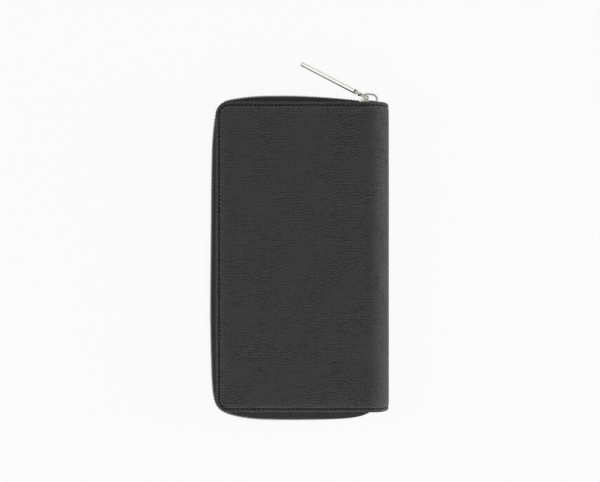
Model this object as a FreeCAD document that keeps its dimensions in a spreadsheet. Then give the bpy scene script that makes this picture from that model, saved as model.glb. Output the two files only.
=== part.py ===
import FreeCAD, Part
import math
import os

# Zip-around long wallet, closed, lying on its back cover.
# Frame: origin at the centre of the back cover's flat outer face, +Z up out of the front
# cover, +X towards the rolled spine, +Y towards the end where the zip starts. Millimetres.

os.makedirs("parts", exist_ok=True)
doc = FreeCAD.newDocument("long_wallet")
V = FreeCAD.Vector

# ---------------------------------------------------------------- driving dimensions
SIZES = [
    ("cover_width", 105.0, "fore-edge to the outermost line of the spine"),
    ("cover_length", 189.0, "end to end along the spine"),
    ("thickness", 24.0, "closed, over both covers"),
    ("corner_radius", 8.0, "fore-edge corners of the covers"),
    ("leather_t", 1.2, "cover leather"),
    ("foam_t", 0.5, "thin padding under the cover leather"),
    ("board_t", 0.6, "stiffening board"),
    ("lining_t", 0.3, "lining"),
    ("base_t", 0.4, "card panel base"),
    ("strip_t", 0.4, "one card slot strip"),
    ("board_inset", 3.0, "board, foam and lining in from the cover's edge"),
    ("base_inset", 5.0, "card panels in from the cover's edge"),
    ("slot_first", 13.0, "mouth of the first card slot from the fore-edge"),
    ("slot_step", 11.0, "from one slot's mouth to the next"),
    ("slot_root", 88.0, "spine side end of the card panels from the fore-edge"),
    ("pocket_wall_t", 0.7, "coin pocket wall"),
    ("pocket_gap", 4.2, "inside the coin pocket"),
    ("pocket_fore", 10.0, "coin pocket's zipped edge from the fore-edge"),
    ("pocket_root", 86.5, "coin pocket's closed edge from the fore-edge"),
    ("pocket_inset", 6.5, "coin pocket in from the ends"),
    ("frame_t", 0.8, "edge frame of the coin pocket"),
    ("tape_t", 0.6, "zip tape"),
    ("tape_inset", 1.6, "tape's sewn edge in from the cover's edge"),
    ("tape_edge", 1.0, "tape's beaded edge from the middle plane"),
    ("tooth_pitch", 2.15, "main zip teeth"),
    ("tooth_w", 0.8, "tooth along the tape"),
    ("tooth_d", 2.1, "tooth through the tape"),
    ("tooth_out", 1.15, "teeth stand out from the tape's face to the zip's outline"),
    ("tooth_top", 0.5, "teeth reach past the middle plane"),
    ("track_radius", 445.0, "bow of the top run of the zip, outline"),
    ("track_x", -12.0, "crest of the bow"),
    ("track_crest", 97.8, "outline at the crest"),
    ("slider_x", 40.3, "slider's centre, zip shut"),
    ("slider_len", 10.0, "slider along the zip"),
    ("slider_wide", 7.8, "slider across the zip"),
    ("plate_t", 0.8, "slider plates"),
    ("plate_gap", 1.25, "plate's inner face from the tape's middle"),
    ("bail_d", 1.3, "wire of the bail"),
    ("bail_high", 3.5, "bail's crown over the plate"),
    ("swing_x", 1.3, "pull's swing axis along the slider"),
    ("swing_n", 0.3, "pull's swing axis over the plate"),
    ("ring_d", 1.0, "wire of the pull's eye"),
    ("ring_near", 1.75, "eye, near end from the swing axis"),
    ("ring_far", 6.2, "eye, far end from the swing axis"),
    ("ring_half", 1.6, "eye, half width"),
    ("ring_tilt", 30.0, "eye turned about its length, degrees"),
    ("pull_yaw", 27.1, "pull over the -X direction at rest, degrees"),
    ("pull_droop", 16.1, "bar below level at rest, degrees"),
    ("pin_reach", 9.9, "knuckle pin from the swing axis"),
    ("pin_d", 0.8, "knuckle pin"),
    ("bar_len", 38.4, "bar from the knuckle pin to its tip"),
    ("bar_wide", 2.8, "bar width"),
    ("bar_thick", 2.0, "bar thickness"),
    ("gusset_t", 0.5, "gusset leather"),
    ("gusset_edge", 86.0, "gusset's sewn edges from the middle of the length"),
    ("gusset_fold", 71.5, "gusset's fold from the middle of the length"),
    ("gusset_fore", -15.0, "gusset's fore end"),
    ("gusset_root", 32.0, "gusset's spine end"),
    ("coin_pitch", 1.6, "coin zip teeth"),
]
ss = doc.addObject("Spreadsheet::Sheet", "Sizes")
D = {}
for row, (name, value, note) in enumerate(SIZES, start=1):
    ss.set("A%d" % row, name)
    ss.set("B%d" % row, "%g" % value)
    ss.set("C%d" % row, note)
    ss.setAlias("B%d" % row, name)
    D[name] = value
doc.recompute()
for name in D:
    D[name] = float(ss.get(name))

T = D["thickness"]
MID = T / 2
HW = D["cover_width"] / 2
HL = D["cover_length"] / 2
R = T / 2
XC = HW - R                      # axis of the half-round spine
LT = D["leather_t"]
Z_FOAM = LT
Z_BOARD = Z_FOAM + D["foam_t"]
Z_LINING = Z_BOARD + D["board_t"]
Z_BASE = Z_LINING + D["lining_t"]
Z_STRIP = Z_BASE + D["base_t"]
made = []


def origin_plane(body, role):
    return [f for f in body.Origin.OriginFeatures if f.Role == role][0]


def bind(obj, prop, expression):
    obj.setExpression(prop, expression)


def rect_plate(label, x, y, z, width, length, height, corner=None, sides="x0"):
    """A flat layer: rectangular sketch from its own corner, padded up, corners rounded."""
    import Sketcher
    body = doc.addObject("PartDesign::Body", label)
    body.Label = label
    sk = body.newObject("Sketcher::SketchObject", label + "_outline")
    sk.AttachmentSupport = [(origin_plane(body, "XY_Plane"), "")]
    sk.MapMode = "FlatFace"
    p = [V(0, 0, 0), V(10, 0, 0), V(10, 20, 0), V(0, 20, 0)]
    for i in range(4):
        sk.addGeometry(Part.LineSegment(p[i], p[(i + 1) % 4]), False)
    for i in range(4):
        sk.addConstraint(Sketcher.Constraint("Coincident", i, 2, (i + 1) % 4, 1))
    sk.addConstraint(Sketcher.Constraint("Horizontal", 0))
    sk.addConstraint(Sketcher.Constraint("Horizontal", 2))
    sk.addConstraint(Sketcher.Constraint("Vertical", 1))
    sk.addConstraint(Sketcher.Constraint("Vertical", 3))
    sk.addConstraint(Sketcher.Constraint("Coincident", 0, 1, -1, 1))
    a = sk.addConstraint(Sketcher.Constraint("DistanceX", 0, 1, 0, 2, 10.0))
    b = sk.addConstraint(Sketcher.Constraint("DistanceY", 1, 1, 1, 2, 20.0))
    sk.renameConstraint(a, "width")
    sk.renameConstraint(b, "length")
    bind(sk, "Constraints.width", width)
    bind(sk, "Constraints.length", length)
    pad = body.newObject("PartDesign::Pad", label + "_pad")
    pad.Profile = sk
    bind(pad, "Length", height)
    body.Tip = pad
    doc.recompute()
    if corner:
        names = []
        for i, e in enumerate(pad.Shape.Edges, start=1):
            a, b = e.Vertexes[0].Point, e.Vertexes[-1].Point
            upright = abs(a.x - b.x) < 1e-6 and abs(a.y - b.y) < 1e-6
            if upright and (sides == "all" or abs(a.x) < 1e-6):
                names.append("Edge%d" % i)
        f = body.newObject("PartDesign::Fillet", label + "_corners")
        f.Base = (pad, names)
        bind(f, "Radius", corner)
        body.Tip = f
        doc.recompute()
    bind(body, "Placement.Base.x", x)
    bind(body, "Placement.Base.y", y)
    bind(body, "Placement.Base.z", z)
    made.append(body)
    return body


def rolled_skin(label, outer, skin, flat_from, length, corner, upside_down):
    """A flat sheet that rolls through a quarter circle at the spine, one skin thick."""
    import Sketcher
    body = doc.addObject("PartDesign::Body", label)
    body.Label = label
    sk = body.newObject("Sketcher::SketchObject", label + "_section")
    sk.AttachmentSupport = [(origin_plane(body, "XZ_Plane"), "")]
    sk.MapMode = "FlatFace"
    q = math.pi / 2
    sk.addGeometry(Part.LineSegment(V(0, 0, 0), V(90, 0, 0)), False)
    sk.addGeometry(Part.ArcOfCircle(Part.Circle(V(90, 12, 0), V(0, 0, 1), 12), -q, 0), False)
    sk.addGeometry(Part.LineSegment(V(102, 12, 0), V(101, 12, 0)), False)
    sk.addGeometry(Part.ArcOfCircle(Part.Circle(V(90, 12, 0), V(0, 0, 1), 11), -q, 0), False)
    sk.addGeometry(Part.LineSegment(V(90, 1, 0), V(0, 1, 0)), False)
    sk.addGeometry(Part.LineSegment(V(0, 1, 0), V(0, 0, 0)), False)
    C = Sketcher.Constraint
    for c in (C("Coincident", 0, 2, 1, 1), C("Coincident", 1, 2, 2, 1), C("Coincident", 2, 2, 3, 2),
              C("Coincident", 3, 1, 4, 1), C("Coincident", 4, 2, 5, 1), C("Coincident", 5, 2, 0, 1),
              C("Coincident", 1, 3, 3, 3), C("Coincident", 0, 1, -1, 1), C("Horizontal", 0),
              C("Horizontal", 4), C("Horizontal", 2), C("Vertical", 5), C("Vertical", 0, 2, 1, 3),
              C("Horizontal", 1, 2, 1, 3)):
        sk.addConstraint(c)
    for name, c in (("flat", C("DistanceX", 0, 1, 0, 2, 90.0)), ("outer", C("Radius", 1, 12.0)),
                    ("skin", C("DistanceY", 0, 1, 4, 2, 1.0))):
        sk.renameConstraint(sk.addConstraint(c), name)
    bind(sk, "Constraints.flat", flat_from)
    bind(sk, "Constraints.outer", outer)
    bind(sk, "Constraints.skin", skin)
    pad = body.newObject("PartDesign::Pad", label + "_pad")
    pad.Profile = sk
    pad.SideType = "Symmetric"
    bind(pad, "Length", length)
    body.Tip = pad
    doc.recompute()
    names = []
    for i, e in enumerate(pad.Shape.Edges, start=1):
        a, b = e.Vertexes[0].Point, e.Vertexes[-1].Point
        if abs(a.x) < 1e-6 and abs(b.x) < 1e-6 and abs(a.y - b.y) < 1e-6:
            names.append("Edge%d" % i)
    if corner:
        f = body.newObject("PartDesign::Fillet", label + "_corners")
        f.Base = (pad, names)
        bind(f, "Radius", corner)
        body.Tip = f
        doc.recompute()
    made.append(body)
    return body


def feature(label, shape, placement=None):
    obj = doc.addObject("Part::Feature", label)
    obj.Label = label
    obj.Shape = shape
    if placement is not None:
        obj.Placement = placement
    made.append(obj)
    return obj


# ---------------------------------------------------------------- covers
# The one cover skin is split along the outermost line of the spine, where the wallet folds.
for side in ("back", "front"):
    up = side == "front"

    def z_of(low, high_expr_thick):
        """Lower face of a layer, mirrored about the middle plane for the front half."""
        return "Sizes.thickness - (%s) - (%s)" % (low, high_expr_thick) if up else low

    leather = rolled_skin(side + "_cover_leather", "Sizes.thickness / 2", "Sizes.leather_t",
                          "Sizes.cover_width - Sizes.thickness / 2", "Sizes.cover_length",
                          "Sizes.corner_radius", up)
    if up:
        leather.Placement = FreeCAD.Placement(V(0, 0, 0), FreeCAD.Rotation(V(1, 0, 0), 180))
        bind(leather, "Placement.Base.z", "Sizes.thickness")
    bind(leather, "Placement.Base.x", "-Sizes.cover_width / 2")

    low = "Sizes.leather_t"
    rect_plate(side + "_padding", "-Sizes.cover_width / 2 + Sizes.board_inset",
               "-Sizes.cover_length / 2 + Sizes.board_inset", z_of(low, "Sizes.foam_t"),
               "Sizes.cover_width - Sizes.thickness / 2 - Sizes.board_inset",
               "Sizes.cover_length - 2 * Sizes.board_inset", "Sizes.foam_t",
               "Sizes.corner_radius - Sizes.board_inset")
    low += " + Sizes.foam_t"
    rect_plate(side + "_board", "-Sizes.cover_width / 2 + Sizes.board_inset",
               "-Sizes.cover_length / 2 + Sizes.board_inset", z_of(low, "Sizes.board_t"),
               "Sizes.cover_width - Sizes.thickness / 2 - Sizes.board_inset",
               "Sizes.cover_length - 2 * Sizes.board_inset", "Sizes.board_t",
               "Sizes.corner_radius - Sizes.board_inset")
    low += " + Sizes.board_t"
    rect_plate(side + "_lining", "-Sizes.cover_width / 2 + Sizes.board_inset",
               "-Sizes.cover_length / 2 + Sizes.board_inset", z_of(low, "Sizes.lining_t"),
               "Sizes.cover_width - Sizes.thickness / 2 - Sizes.board_inset",
               "Sizes.cover_length - 2 * Sizes.board_inset", "Sizes.lining_t",
               "Sizes.corner_radius - Sizes.board_inset")
    low += " + Sizes.lining_t"
    rect_plate(side + "_card_base", "-Sizes.cover_width / 2 + Sizes.base_inset",
               "-Sizes.cover_length / 2 + Sizes.base_inset", z_of(low, "Sizes.base_t"),
               "Sizes.slot_root - Sizes.base_inset", "Sizes.cover_length - 2 * Sizes.base_inset",
               "Sizes.base_t", "Sizes.corner_radius - Sizes.base_inset")
    low += " + Sizes.base_t"
    for k in range(4):
        mouth = "Sizes.slot_first + %d * Sizes.slot_step" % k
        rect_plate("%s_card_slot_%d" % (side, k + 1), "-Sizes.cover_width / 2 + " + mouth,
                   "-Sizes.cover_length / 2 + Sizes.base_inset", z_of(low, "Sizes.strip_t"),
                   "Sizes.slot_root - (%s)" % mouth, "Sizes.cover_length - 2 * Sizes.base_inset",
                   "Sizes.strip_t")
        low += " + Sizes.strip_t"

# The lining of the rolled spine: a quarter tube inside each half of the skin.
r_out = R - LT - 0.05
r_in = r_out - 0.5
for side, a0 in (("back", -90), ("front", 0)):
    outer = Part.makeCylinder(r_out, 2 * (HL - 3), V(0, 0, 0), V(0, 1, 0), 360)
    inner = Part.makeCylinder(r_in, 2 * (HL - 3), V(0, 0, 0), V(0, 1, 0), 360)
    tube = outer.cut(inner)
    keep = Part.makeBox(R, 2 * (HL - 3), R, V(0.3, 0, -R if side == "back" else 0.0))
    feature(side + "_spine_lining", tube.common(keep),
            FreeCAD.Placement(V(XC, -(HL - 3), MID), FreeCAD.Rotation()))

# ---------------------------------------------------------------- course of the zip
# Stand-off of the zip's outline from the cover's edge, by place along the three zipped sides.
RT = D["track_radius"]
TX = D["track_x"]
TY = D["track_crest"] - RT


def top_y(x):
    return TY + math.sqrt(RT * RT - (x - TX) ** 2)


OUT = [(x, top_y(x)) for x in (47.0, 43.0, 39.0, 34.0, 28.0, 22.0, 15.0, 8.0, 1.0, -6.0, -13.0, -20.0, -26.0)]
OUT += [(-32.0, 97.15), (-37.5, 96.45), (-42.2, 95.75), (-46.0, 94.75), (-48.9, 93.0), (-51.0, 90.5),
        (-52.3, 87.2), (-53.2, 82.0), (-54.0, 75.0), (-54.6, 66.0), (-54.9, 54.0), (-55.1, 40.0),
        (-55.25, 22.0), (-55.45, 2.0), (-55.65, -18.0), (-55.7, -36.0), (-55.45, -52.0), (-55.1, -66.0),
        (-54.6, -76.5), (-53.9, -83.5), (-52.75, -88.3), (-50.9, -91.4), (-48.2, -93.7), (-44.8, -95.2),
        (-40.5, -96.1), (-35.0, -97.1), (-28.0, -97.75), (-18.0, -98.0), (-6.0, -98.05), (6.0, -98.05),
        (18.0, -98.0), (26.0, -97.8), (32.0, -97.3), (37.0, -96.4), (41.0, -94.9), (44.0, -93.0)]


def curve(points):
    c = Part.BSplineCurve()
    c.interpolate([V(x, y, 0) for x, y in points])
    return c


outline = curve(OUT)


def normal_at(u):
    """Unit vector out of the wallet, in the XY plane, at parameter u of the zip's outline."""
    t = outline.tangent(u)[0]
    n = V(-t.y, t.x, 0)          # the course runs anticlockwise seen from above, so out is to its right
    p = outline.value(u)
    if n.x * p.x + n.y * p.y < 0:
        n = n * -1.0
    return n


U0, U1 = outline.FirstParameter, outline.LastParameter
TOTAL = outline.length(U0, U1)


def at_length(s):
    u = outline.parameterAtDistance(s, U0)
    return outline.value(u), normal_at(u), u


def cover_inset(p, inset):
    """The point nearest p on the cover's outline moved in by inset, with its own corner radius."""
    x0, y0 = -HW + inset, HL - inset
    r = max(D["corner_radius"] - inset, 0.5)
    cx = x0 + r
    for sy in (1, -1):
        cy = sy * (y0 - r)
        if p.x < cx and sy * p.y > sy * cy:
            d = V(p.x - cx, p.y - cy, 0)
            d.normalize()
            return (cx + d.x * r, cy + d.y * r)
    if p.x < cx and abs(p.y) <= y0 - r:
        return (x0, p.y)
    return (min(p.x, XC - 0.6), math.copysign(y0, p.y))


STATIONS = 64
tt = D["tape_t"]
face = D["tooth_out"]


def tape_shape(edge_z, mid_z, sewn_z):
    """A tape wall: sewn edge inside the cover's edge, bowing out to the beaded edge by the middle plane."""
    rows = {"sewn_o": [], "sewn_i": [], "bow_o": [], "bow_i": []}
    s0, s1 = 0.6, TOTAL - 0.4
    for k in range(STATIONS + 1):
        s = s0 + (s1 - s0) * k / STATIONS
        p, n, u = at_length(s)
        rows["bow_o"].append((p.x - n.x * face, p.y - n.y * face))
        rows["bow_i"].append((p.x - n.x * (face + tt), p.y - n.y * (face + tt)))
        rows["sewn_o"].append(cover_inset(p, D["tape_inset"]))
        rows["sewn_i"].append(cover_inset(p, D["tape_inset"] + tt))
    # near the ends many stations share the sewn edge's last point, so that edge is spread out evenly
    for key in ("sewn_o", "sewn_i"):
        pts = rows[key]
        inset = D["tape_inset"] + (tt if key.endswith("i") else 0)
        r = D["corner_radius"] - inset
        x_end = XC - 0.8
        run = (x_end - (-HW + inset + r))
        quarter = math.pi * r / 2
        side_run = 2 * (HL - inset - r)
        full = 2 * run + 2 * quarter + side_run
        out = []
        for k in range(STATIONS + 1):
            w = full * k / STATIONS
            if w <= run:
                out.append((x_end - w, HL - inset))
            elif w <= run + quarter:
                a = (w - run) / r
                out.append((-HW + inset + r - r * math.sin(a), HL - inset - r + r * math.cos(a)))
            elif w <= run + quarter + side_run:
                out.append((-HW + inset, HL - inset - r - (w - run - quarter)))
            elif w <= run + 2 * quarter + side_run:
                a = (w - run - quarter - side_run) / r
                out.append((-HW + inset + r - r * math.cos(a), -(HL - inset - r) - r * math.sin(a)))
            else:
                out.append((-HW + inset + r + (w - run - 2 * quarter - side_run), -(HL - inset)))
        rows[key] = out

    def loop(outer, inner, z):
        a = [V(x, y, z) for x, y in outer]
        b = [V(x, y, z) for x, y in inner]
        ca, cb = Part.BSplineCurve(), Part.BSplineCurve()
        knots = [float(k) for k in range(STATIONS + 1)]
        ca.interpolate(Points=a, Parameters=knots)
        cb.interpolate(Points=b, Parameters=knots)
        edges = [ca.toShape(), Part.makeLine(a[-1], b[-1]), cb.toShape(), Part.makeLine(b[0], a[0])]
        faces = {"a": ca, "b": cb, "a0": a[0], "a1": a[-1], "b0": b[0], "b1": b[-1]}
        return faces

    levels = [loop(rows["sewn_o"], rows["sewn_i"], sewn_z), loop(rows["bow_o"], rows["bow_i"], mid_z),
              loop(rows["bow_o"], rows["bow_i"], edge_z)]
    faces = []
    for lo, hi in zip(levels[:-1], levels[1:]):
        faces.append(Part.makeRuledSurface(lo["a"].toShape(), hi["a"].toShape()))
        faces.append(Part.makeRuledSurface(lo["b"].toShape(), hi["b"].toShape()))
        for e in ("0", "1"):
            faces.append(Part.makeRuledSurface(Part.makeLine(lo["a" + e], lo["b" + e]),
                                               Part.makeLine(hi["a" + e], hi["b" + e])))
    for lv in (levels[0], levels[-1]):
        faces.append(Part.makeRuledSurface(lv["a"].toShape(), lv["b"].toShape()))
    shell = Part.makeShell([f for part in faces for f in part.Faces])
    shell.sewShape()
    if not isinstance(shell, Part.Shell):
        shell = shell.Shells[0]
    solid = Part.makeSolid(shell)
    if solid.Volume < 0:
        solid.reverse()
    return solid


SEW = LT
KNEE = 7.0
feature("back_zip_tape", tape_shape(MID - D["tape_edge"], KNEE, SEW))
feature("front_zip_tape", tape_shape(MID + D["tape_edge"], T - KNEE, T - SEW))

# Slider at rest: its frame has X along the zip towards the spine, Y out of the wallet.
SL_R = RT - face - tt / 2                 # middle of the tape on the top run
sl_a = math.asin((D["slider_x"] - TX) / RT)
slider_frame = FreeCAD.Placement(V(TX + SL_R * math.sin(sl_a), TY + SL_R * math.cos(sl_a), MID),
                                 FreeCAD.Rotation(V(0, 0, 1), -math.degrees(sl_a)))


def teeth(z0, z1, phase, keep_out):
    """One tape's teeth: small blocks along the course, none where the slider sits."""
    out = []
    s = 3.2 + phase
    while s < TOTAL - 2.6:
        p, n, u = at_length(s)
        if not (keep_out[0] < p.x < keep_out[1] and p.y > 0):
            c = p - n * (face + tt / 2)
            b = Part.makeBox(D["tooth_w"], D["tooth_d"], z1 - z0,
                             V(-D["tooth_w"] / 2, -D["tooth_d"] / 2, 0))
            b.Placement = FreeCAD.Placement(V(c.x, c.y, z0), FreeCAD.Rotation(V(0, 1, 0), V(n.x, n.y, 0)))
            out.append(b)
        s += D["tooth_pitch"]
    return Part.makeCompound(out)


gap = (D["slider_x"] - D["slider_len"] / 2 - 0.8, 60.0)
te, tp = D["tape_edge"], D["tooth_top"]
feature("back_zip_teeth", teeth(MID - te, MID + tp, 0.0, gap))
feature("front_zip_teeth", teeth(MID - tp, MID + te, D["tooth_pitch"] / 2, gap))


def stops(z0, z1):
    out = []
    for s in (1.1, TOTAL - 1.0):
        p, n, u = at_length(s)
        c = p - n * (face + tt / 2)
        b = Part.makeBox(1.0, 1.9, z1 - z0, V(-0.5, -0.95, 0))
        b = b.makeFillet(0.2, b.Edges)
        b.Placement = FreeCAD.Placement(V(c.x, c.y, z0), FreeCAD.Rotation(V(0, 1, 0), V(n.x, n.y, 0)))
        out.append(b)
    return Part.makeCompound(out)


feature("back_zip_stops", stops(MID - te, MID - 0.15))
feature("front_zip_stops", stops(MID + 0.15, MID + te))

# ---------------------------------------------------------------- slider and its pull
SLN, SWD, PT, PG = D["slider_len"], D["slider_wide"], D["plate_t"], D["plate_gap"]
rim, slot = 0.7, 0.55
parts_ = []
for sgn in (1, -1):
    y0 = PG if sgn > 0 else -PG - PT
    plate = Part.makeBox(SLN, PT, SWD, V(-SLN / 2, y0, -SWD / 2))
    edges = [e for e in plate.Edges if abs(e.Vertexes[0].Point.y - e.Vertexes[-1].Point.y) > 0.1]
    plate = plate.makeFillet(1.4, edges)
    parts_.append(plate)
    for z0 in (-SWD / 2, SWD / 2 - rim):
        y1 = slot if sgn > 0 else -PG - 0.1
        parts_.append(Part.makeBox(SLN - 3.0, PG - slot + 0.1, rim, V(-SLN / 2 + 1.5, y1, z0)))
post = Part.makeCylinder(0.55, 2 * PG + 0.2, V(SLN / 2 - 1.9, -PG - 0.1, 0), V(0, 1, 0))
body_shape = parts_[0].multiFuse(parts_[1:] + [post]).removeSplitter()
feature("slider_body", body_shape, slider_frame)

top = PG + PT


def pipe(path_edges, radius, start, direction):
    wire = Part.Wire(path_edges)
    prof = Part.Wire([Part.makeCircle(radius, start, direction)])
    return wire.makePipeShell([prof], True, True)


bw = D["bail_d"] / 2
bh = D["bail_high"]
x_l, rl, rr = -2.6, 1.2, 3.2            # left leg, small left corner, long right shoulder
x_r = SLN / 2 - bw - 0.05
pA = V(x_l, top - 0.3, 0)
pB = V(x_l, top + bh - rl, 0)
pC = V(x_l + rl, top + bh, 0)
pD = V(x_r - rr, top + bh, 0)
mid1 = V(x_l + rl * (1 - math.sqrt(0.5)), top + bh - rl * (1 - math.sqrt(0.5)), 0)
path = [Part.makeLine(pA, pB), Part.Arc(pB, mid1, pC).toShape(), Part.makeLine(pC, pD)]
cx, cy = pD.x, top + bh - rr
mid2 = V(cx + rr * math.sqrt(0.5), cy + rr * math.sqrt(0.5), 0)
pE = V(cx + rr, cy, 0)
path.append(Part.Arc(pD, mid2, pE).toShape())
pF = V(pE.x, top - 0.3, 0)
path.append(Part.makeLine(pE, pF))
bail = pipe(path, bw, pA, V(0, 1, 0))
bail = bail.cut(body_shape)
feature("slider_bail", bail, slider_frame)

# The pull swings about Z through this point.
swing = slider_frame.multVec(V(D["swing_x"], top + D["swing_n"], 0))
yaw = 180 - D["pull_yaw"]
link_frame = FreeCAD.Placement(swing, FreeCAD.Rotation(V(0, 0, 1), yaw))
# Eye: a rounded wire loop in the link's own XZ plane, then turned about its length.
wr = D["ring_d"] / 2
u0, u1, hw, rc = D["ring_near"], D["ring_far"], D["ring_half"], 1.3
k = rc * (1 - math.sqrt(0.5))
e = [Part.makeLine(V(u0 + rc, 0, hw), V(u1 - rc, 0, hw)),
     Part.Arc(V(u1 - rc, 0, hw), V(u1 - k, 0, hw - k), V(u1, 0, hw - rc)).toShape(),
     Part.makeLine(V(u1, 0, hw - rc), V(u1, 0, -hw + rc)),
     Part.Arc(V(u1, 0, -hw + rc), V(u1 - k, 0, -hw + k), V(u1 - rc, 0, -hw)).toShape(),
     Part.makeLine(V(u1 - rc, 0, -hw), V(u0 + rc, 0, -hw)),
     Part.Arc(V(u0 + rc, 0, -hw), V(u0 + k, 0, -hw + k), V(u0, 0, -hw + rc)).toShape(),
     Part.makeLine(V(u0, 0, -hw + rc), V(u0, 0, hw - rc)),
     Part.Arc(V(u0, 0, hw - rc), V(u0 + k, 0, hw - k), V(u0 + rc, 0, hw)).toShape()]
ring = Part.Wire(e).makePipeShell([Part.Wire([Part.makeCircle(wr, V(u0 + rc, 0, hw), V(1, 0, 0))])], True, True)
ring.rotate(V(0, 0, 0), V(1, 0, 0), D["ring_tilt"])
PR, PD = D["pin_reach"], D["pin_d"]
collar_end = PR - 1.45
collar = Part.makeCone(0.95, D["bar_wide"] / 2, 1.1, V(u1 - 0.2, 0, 0), V(1, 0, 0))
collar = collar.fuse(Part.makeCylinder(D["bar_wide"] / 2, collar_end - u1 - 0.9, V(u1 + 0.9, 0, 0), V(1, 0, 0)))
tongue = Part.makeBox(PR - collar_end + 0.2, 1.0, 1.5, V(collar_end - 0.2, -0.5, -0.75))
tongue = tongue.fuse(Part.makeCylinder(0.95, 1.0, V(PR, -0.5, 0), V(0, 1, 0)))
link = ring.multiFuse([collar, tongue]).removeSplitter()
link = link.cut(Part.makeCylinder(PD / 2, 4.0, V(PR, -2, 0), V(0, 1, 0)))
feature("puller_eye_link", link, link_frame)
pin = Part.makeCylinder(PD / 2, D["bar_wide"] - 0.1, V(0, -D["bar_wide"] / 2 + 0.05, 0), V(0, 1, 0))
pin_at = link_frame.multVec(V(PR, 0, 0))
feature("puller_pin", pin, FreeCAD.Placement(pin_at, link_frame.Rotation))

# Bar: in its own frame X runs from the pin to the tip.
BL, BW, BT = D["bar_len"], D["bar_wide"], D["bar_thick"]
bar = Part.makeBox(BL - 1.9, BW, BT, V(1.9, -BW / 2, -BT / 2))
long_edges = [e for e in bar.Edges if abs(e.Vertexes[0].Point.x - e.Vertexes[-1].Point.x) > 1]
bar = bar.makeChamfer(0.45, long_edges)
fork = []
for y0 in (-BW / 2, 0.65):
    cheek = Part.makeCylinder(BT / 2, BW / 2 - 0.65, V(0, y0, 0), V(0, 1, 0))
    cheek = cheek.fuse(Part.makeBox(2.2, BW / 2 - 0.65, BT, V(0, y0, -BT / 2)))
    fork.append(cheek)
bar = bar.multiFuse(fork).removeSplitter()
bar = bar.cut(Part.makeCylinder(PD / 2 + 0.05, 4.0, V(0, -2, 0), V(0, 1, 0)))
# a positive turn about the bar's -Y lifts the tip; at rest the tip lies low
bar_rot = link_frame.Rotation.multiply(FreeCAD.Rotation(V(0, 1, 0), D["pull_droop"]))
feature("puller_bar", bar, FreeCAD.Placement(pin_at, bar_rot))

# ---------------------------------------------------------------- coin pocket
PX0 = "-Sizes.cover_width / 2 + Sizes.pocket_fore"
PY0 = "-Sizes.cover_length / 2 + Sizes.pocket_inset"
PW = "Sizes.pocket_root - Sizes.pocket_fore"
PL = "Sizes.cover_length - 2 * Sizes.pocket_inset"
rect_plate("coin_pocket_back_wall", PX0, PY0,
           "Sizes.thickness / 2 - Sizes.pocket_gap / 2 - Sizes.pocket_wall_t", PW, PL, "Sizes.pocket_wall_t", "2")
rect_plate("coin_pocket_front_wall", PX0, PY0,
           "Sizes.thickness / 2 + Sizes.pocket_gap / 2", PW, PL, "Sizes.pocket_wall_t", "2")
px0 = -HW + D["pocket_fore"]
px1 = -HW + D["pocket_root"]
py = HL - D["pocket_inset"]
g = D["pocket_gap"]
ft = D["frame_t"]
outer = Part.makeBox(px1 - px0 - 2.4, 2 * py, g, V(px0 + 2.4, -py, MID - g / 2))
inner = Part.makeBox(px1 - px0 - 2.4 - ft, 2 * (py - ft), g, V(px0 + 2.4, -py + ft, MID - g / 2))
feature("coin_pocket_edge_frame", outer.cut(inner))
ctx = px0 + 0.1
ct = 0.5
ctl = 2 * (py - 1.6)
feature("coin_zip_back_tape", Part.makeBox(ct, ctl, g / 2 - 0.8, V(ctx, -ctl / 2, MID - g / 2)))
feature("coin_zip_front_tape", Part.makeBox(ct, ctl, g / 2 - 0.8, V(ctx, -ctl / 2, MID + 0.8)))
CY = 75.0                               # coin zip slider at rest, zip shut
c_teeth = []
y = -(ctl / 2 - 3.0)
i = 0
while y < ctl / 2 - 3.0:
    if y < CY - 4.2:
        w = 0.55
        if i % 2 == 0:
            c_teeth.append(Part.makeBox(1.5, w, 1.15, V(ctx + ct / 2 - 0.75, y - w / 2, MID - 0.8)))
        else:
            c_teeth.append(Part.makeBox(1.5, w, 1.15, V(ctx + ct / 2 - 0.75, y - w / 2, MID - 0.35)))
    y += D["coin_pitch"] / 2
    i += 1
feature("coin_zip_teeth", Part.makeCompound(c_teeth))
cs = []
for yy in (ctl / 2 - 2.2, -ctl / 2 + 1.2):
    for zz in (MID - 0.85, MID + 0.15):
        b = Part.makeBox(1.4, 1.0, 0.7, V(ctx + ct / 2 - 0.7, yy, zz))
        # the stops clip over the tape's edge from its outer side
        cs.append(b.cut(Part.makeBox(ct, 4, 4, V(ctx, yy - 1, MID + 0.8))).cut(
            Part.makeBox(ct, 4, 4, V(ctx, yy - 1, MID - 0.8 - 4))))
feature("coin_zip_stops", Part.makeCompound(cs))
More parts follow.
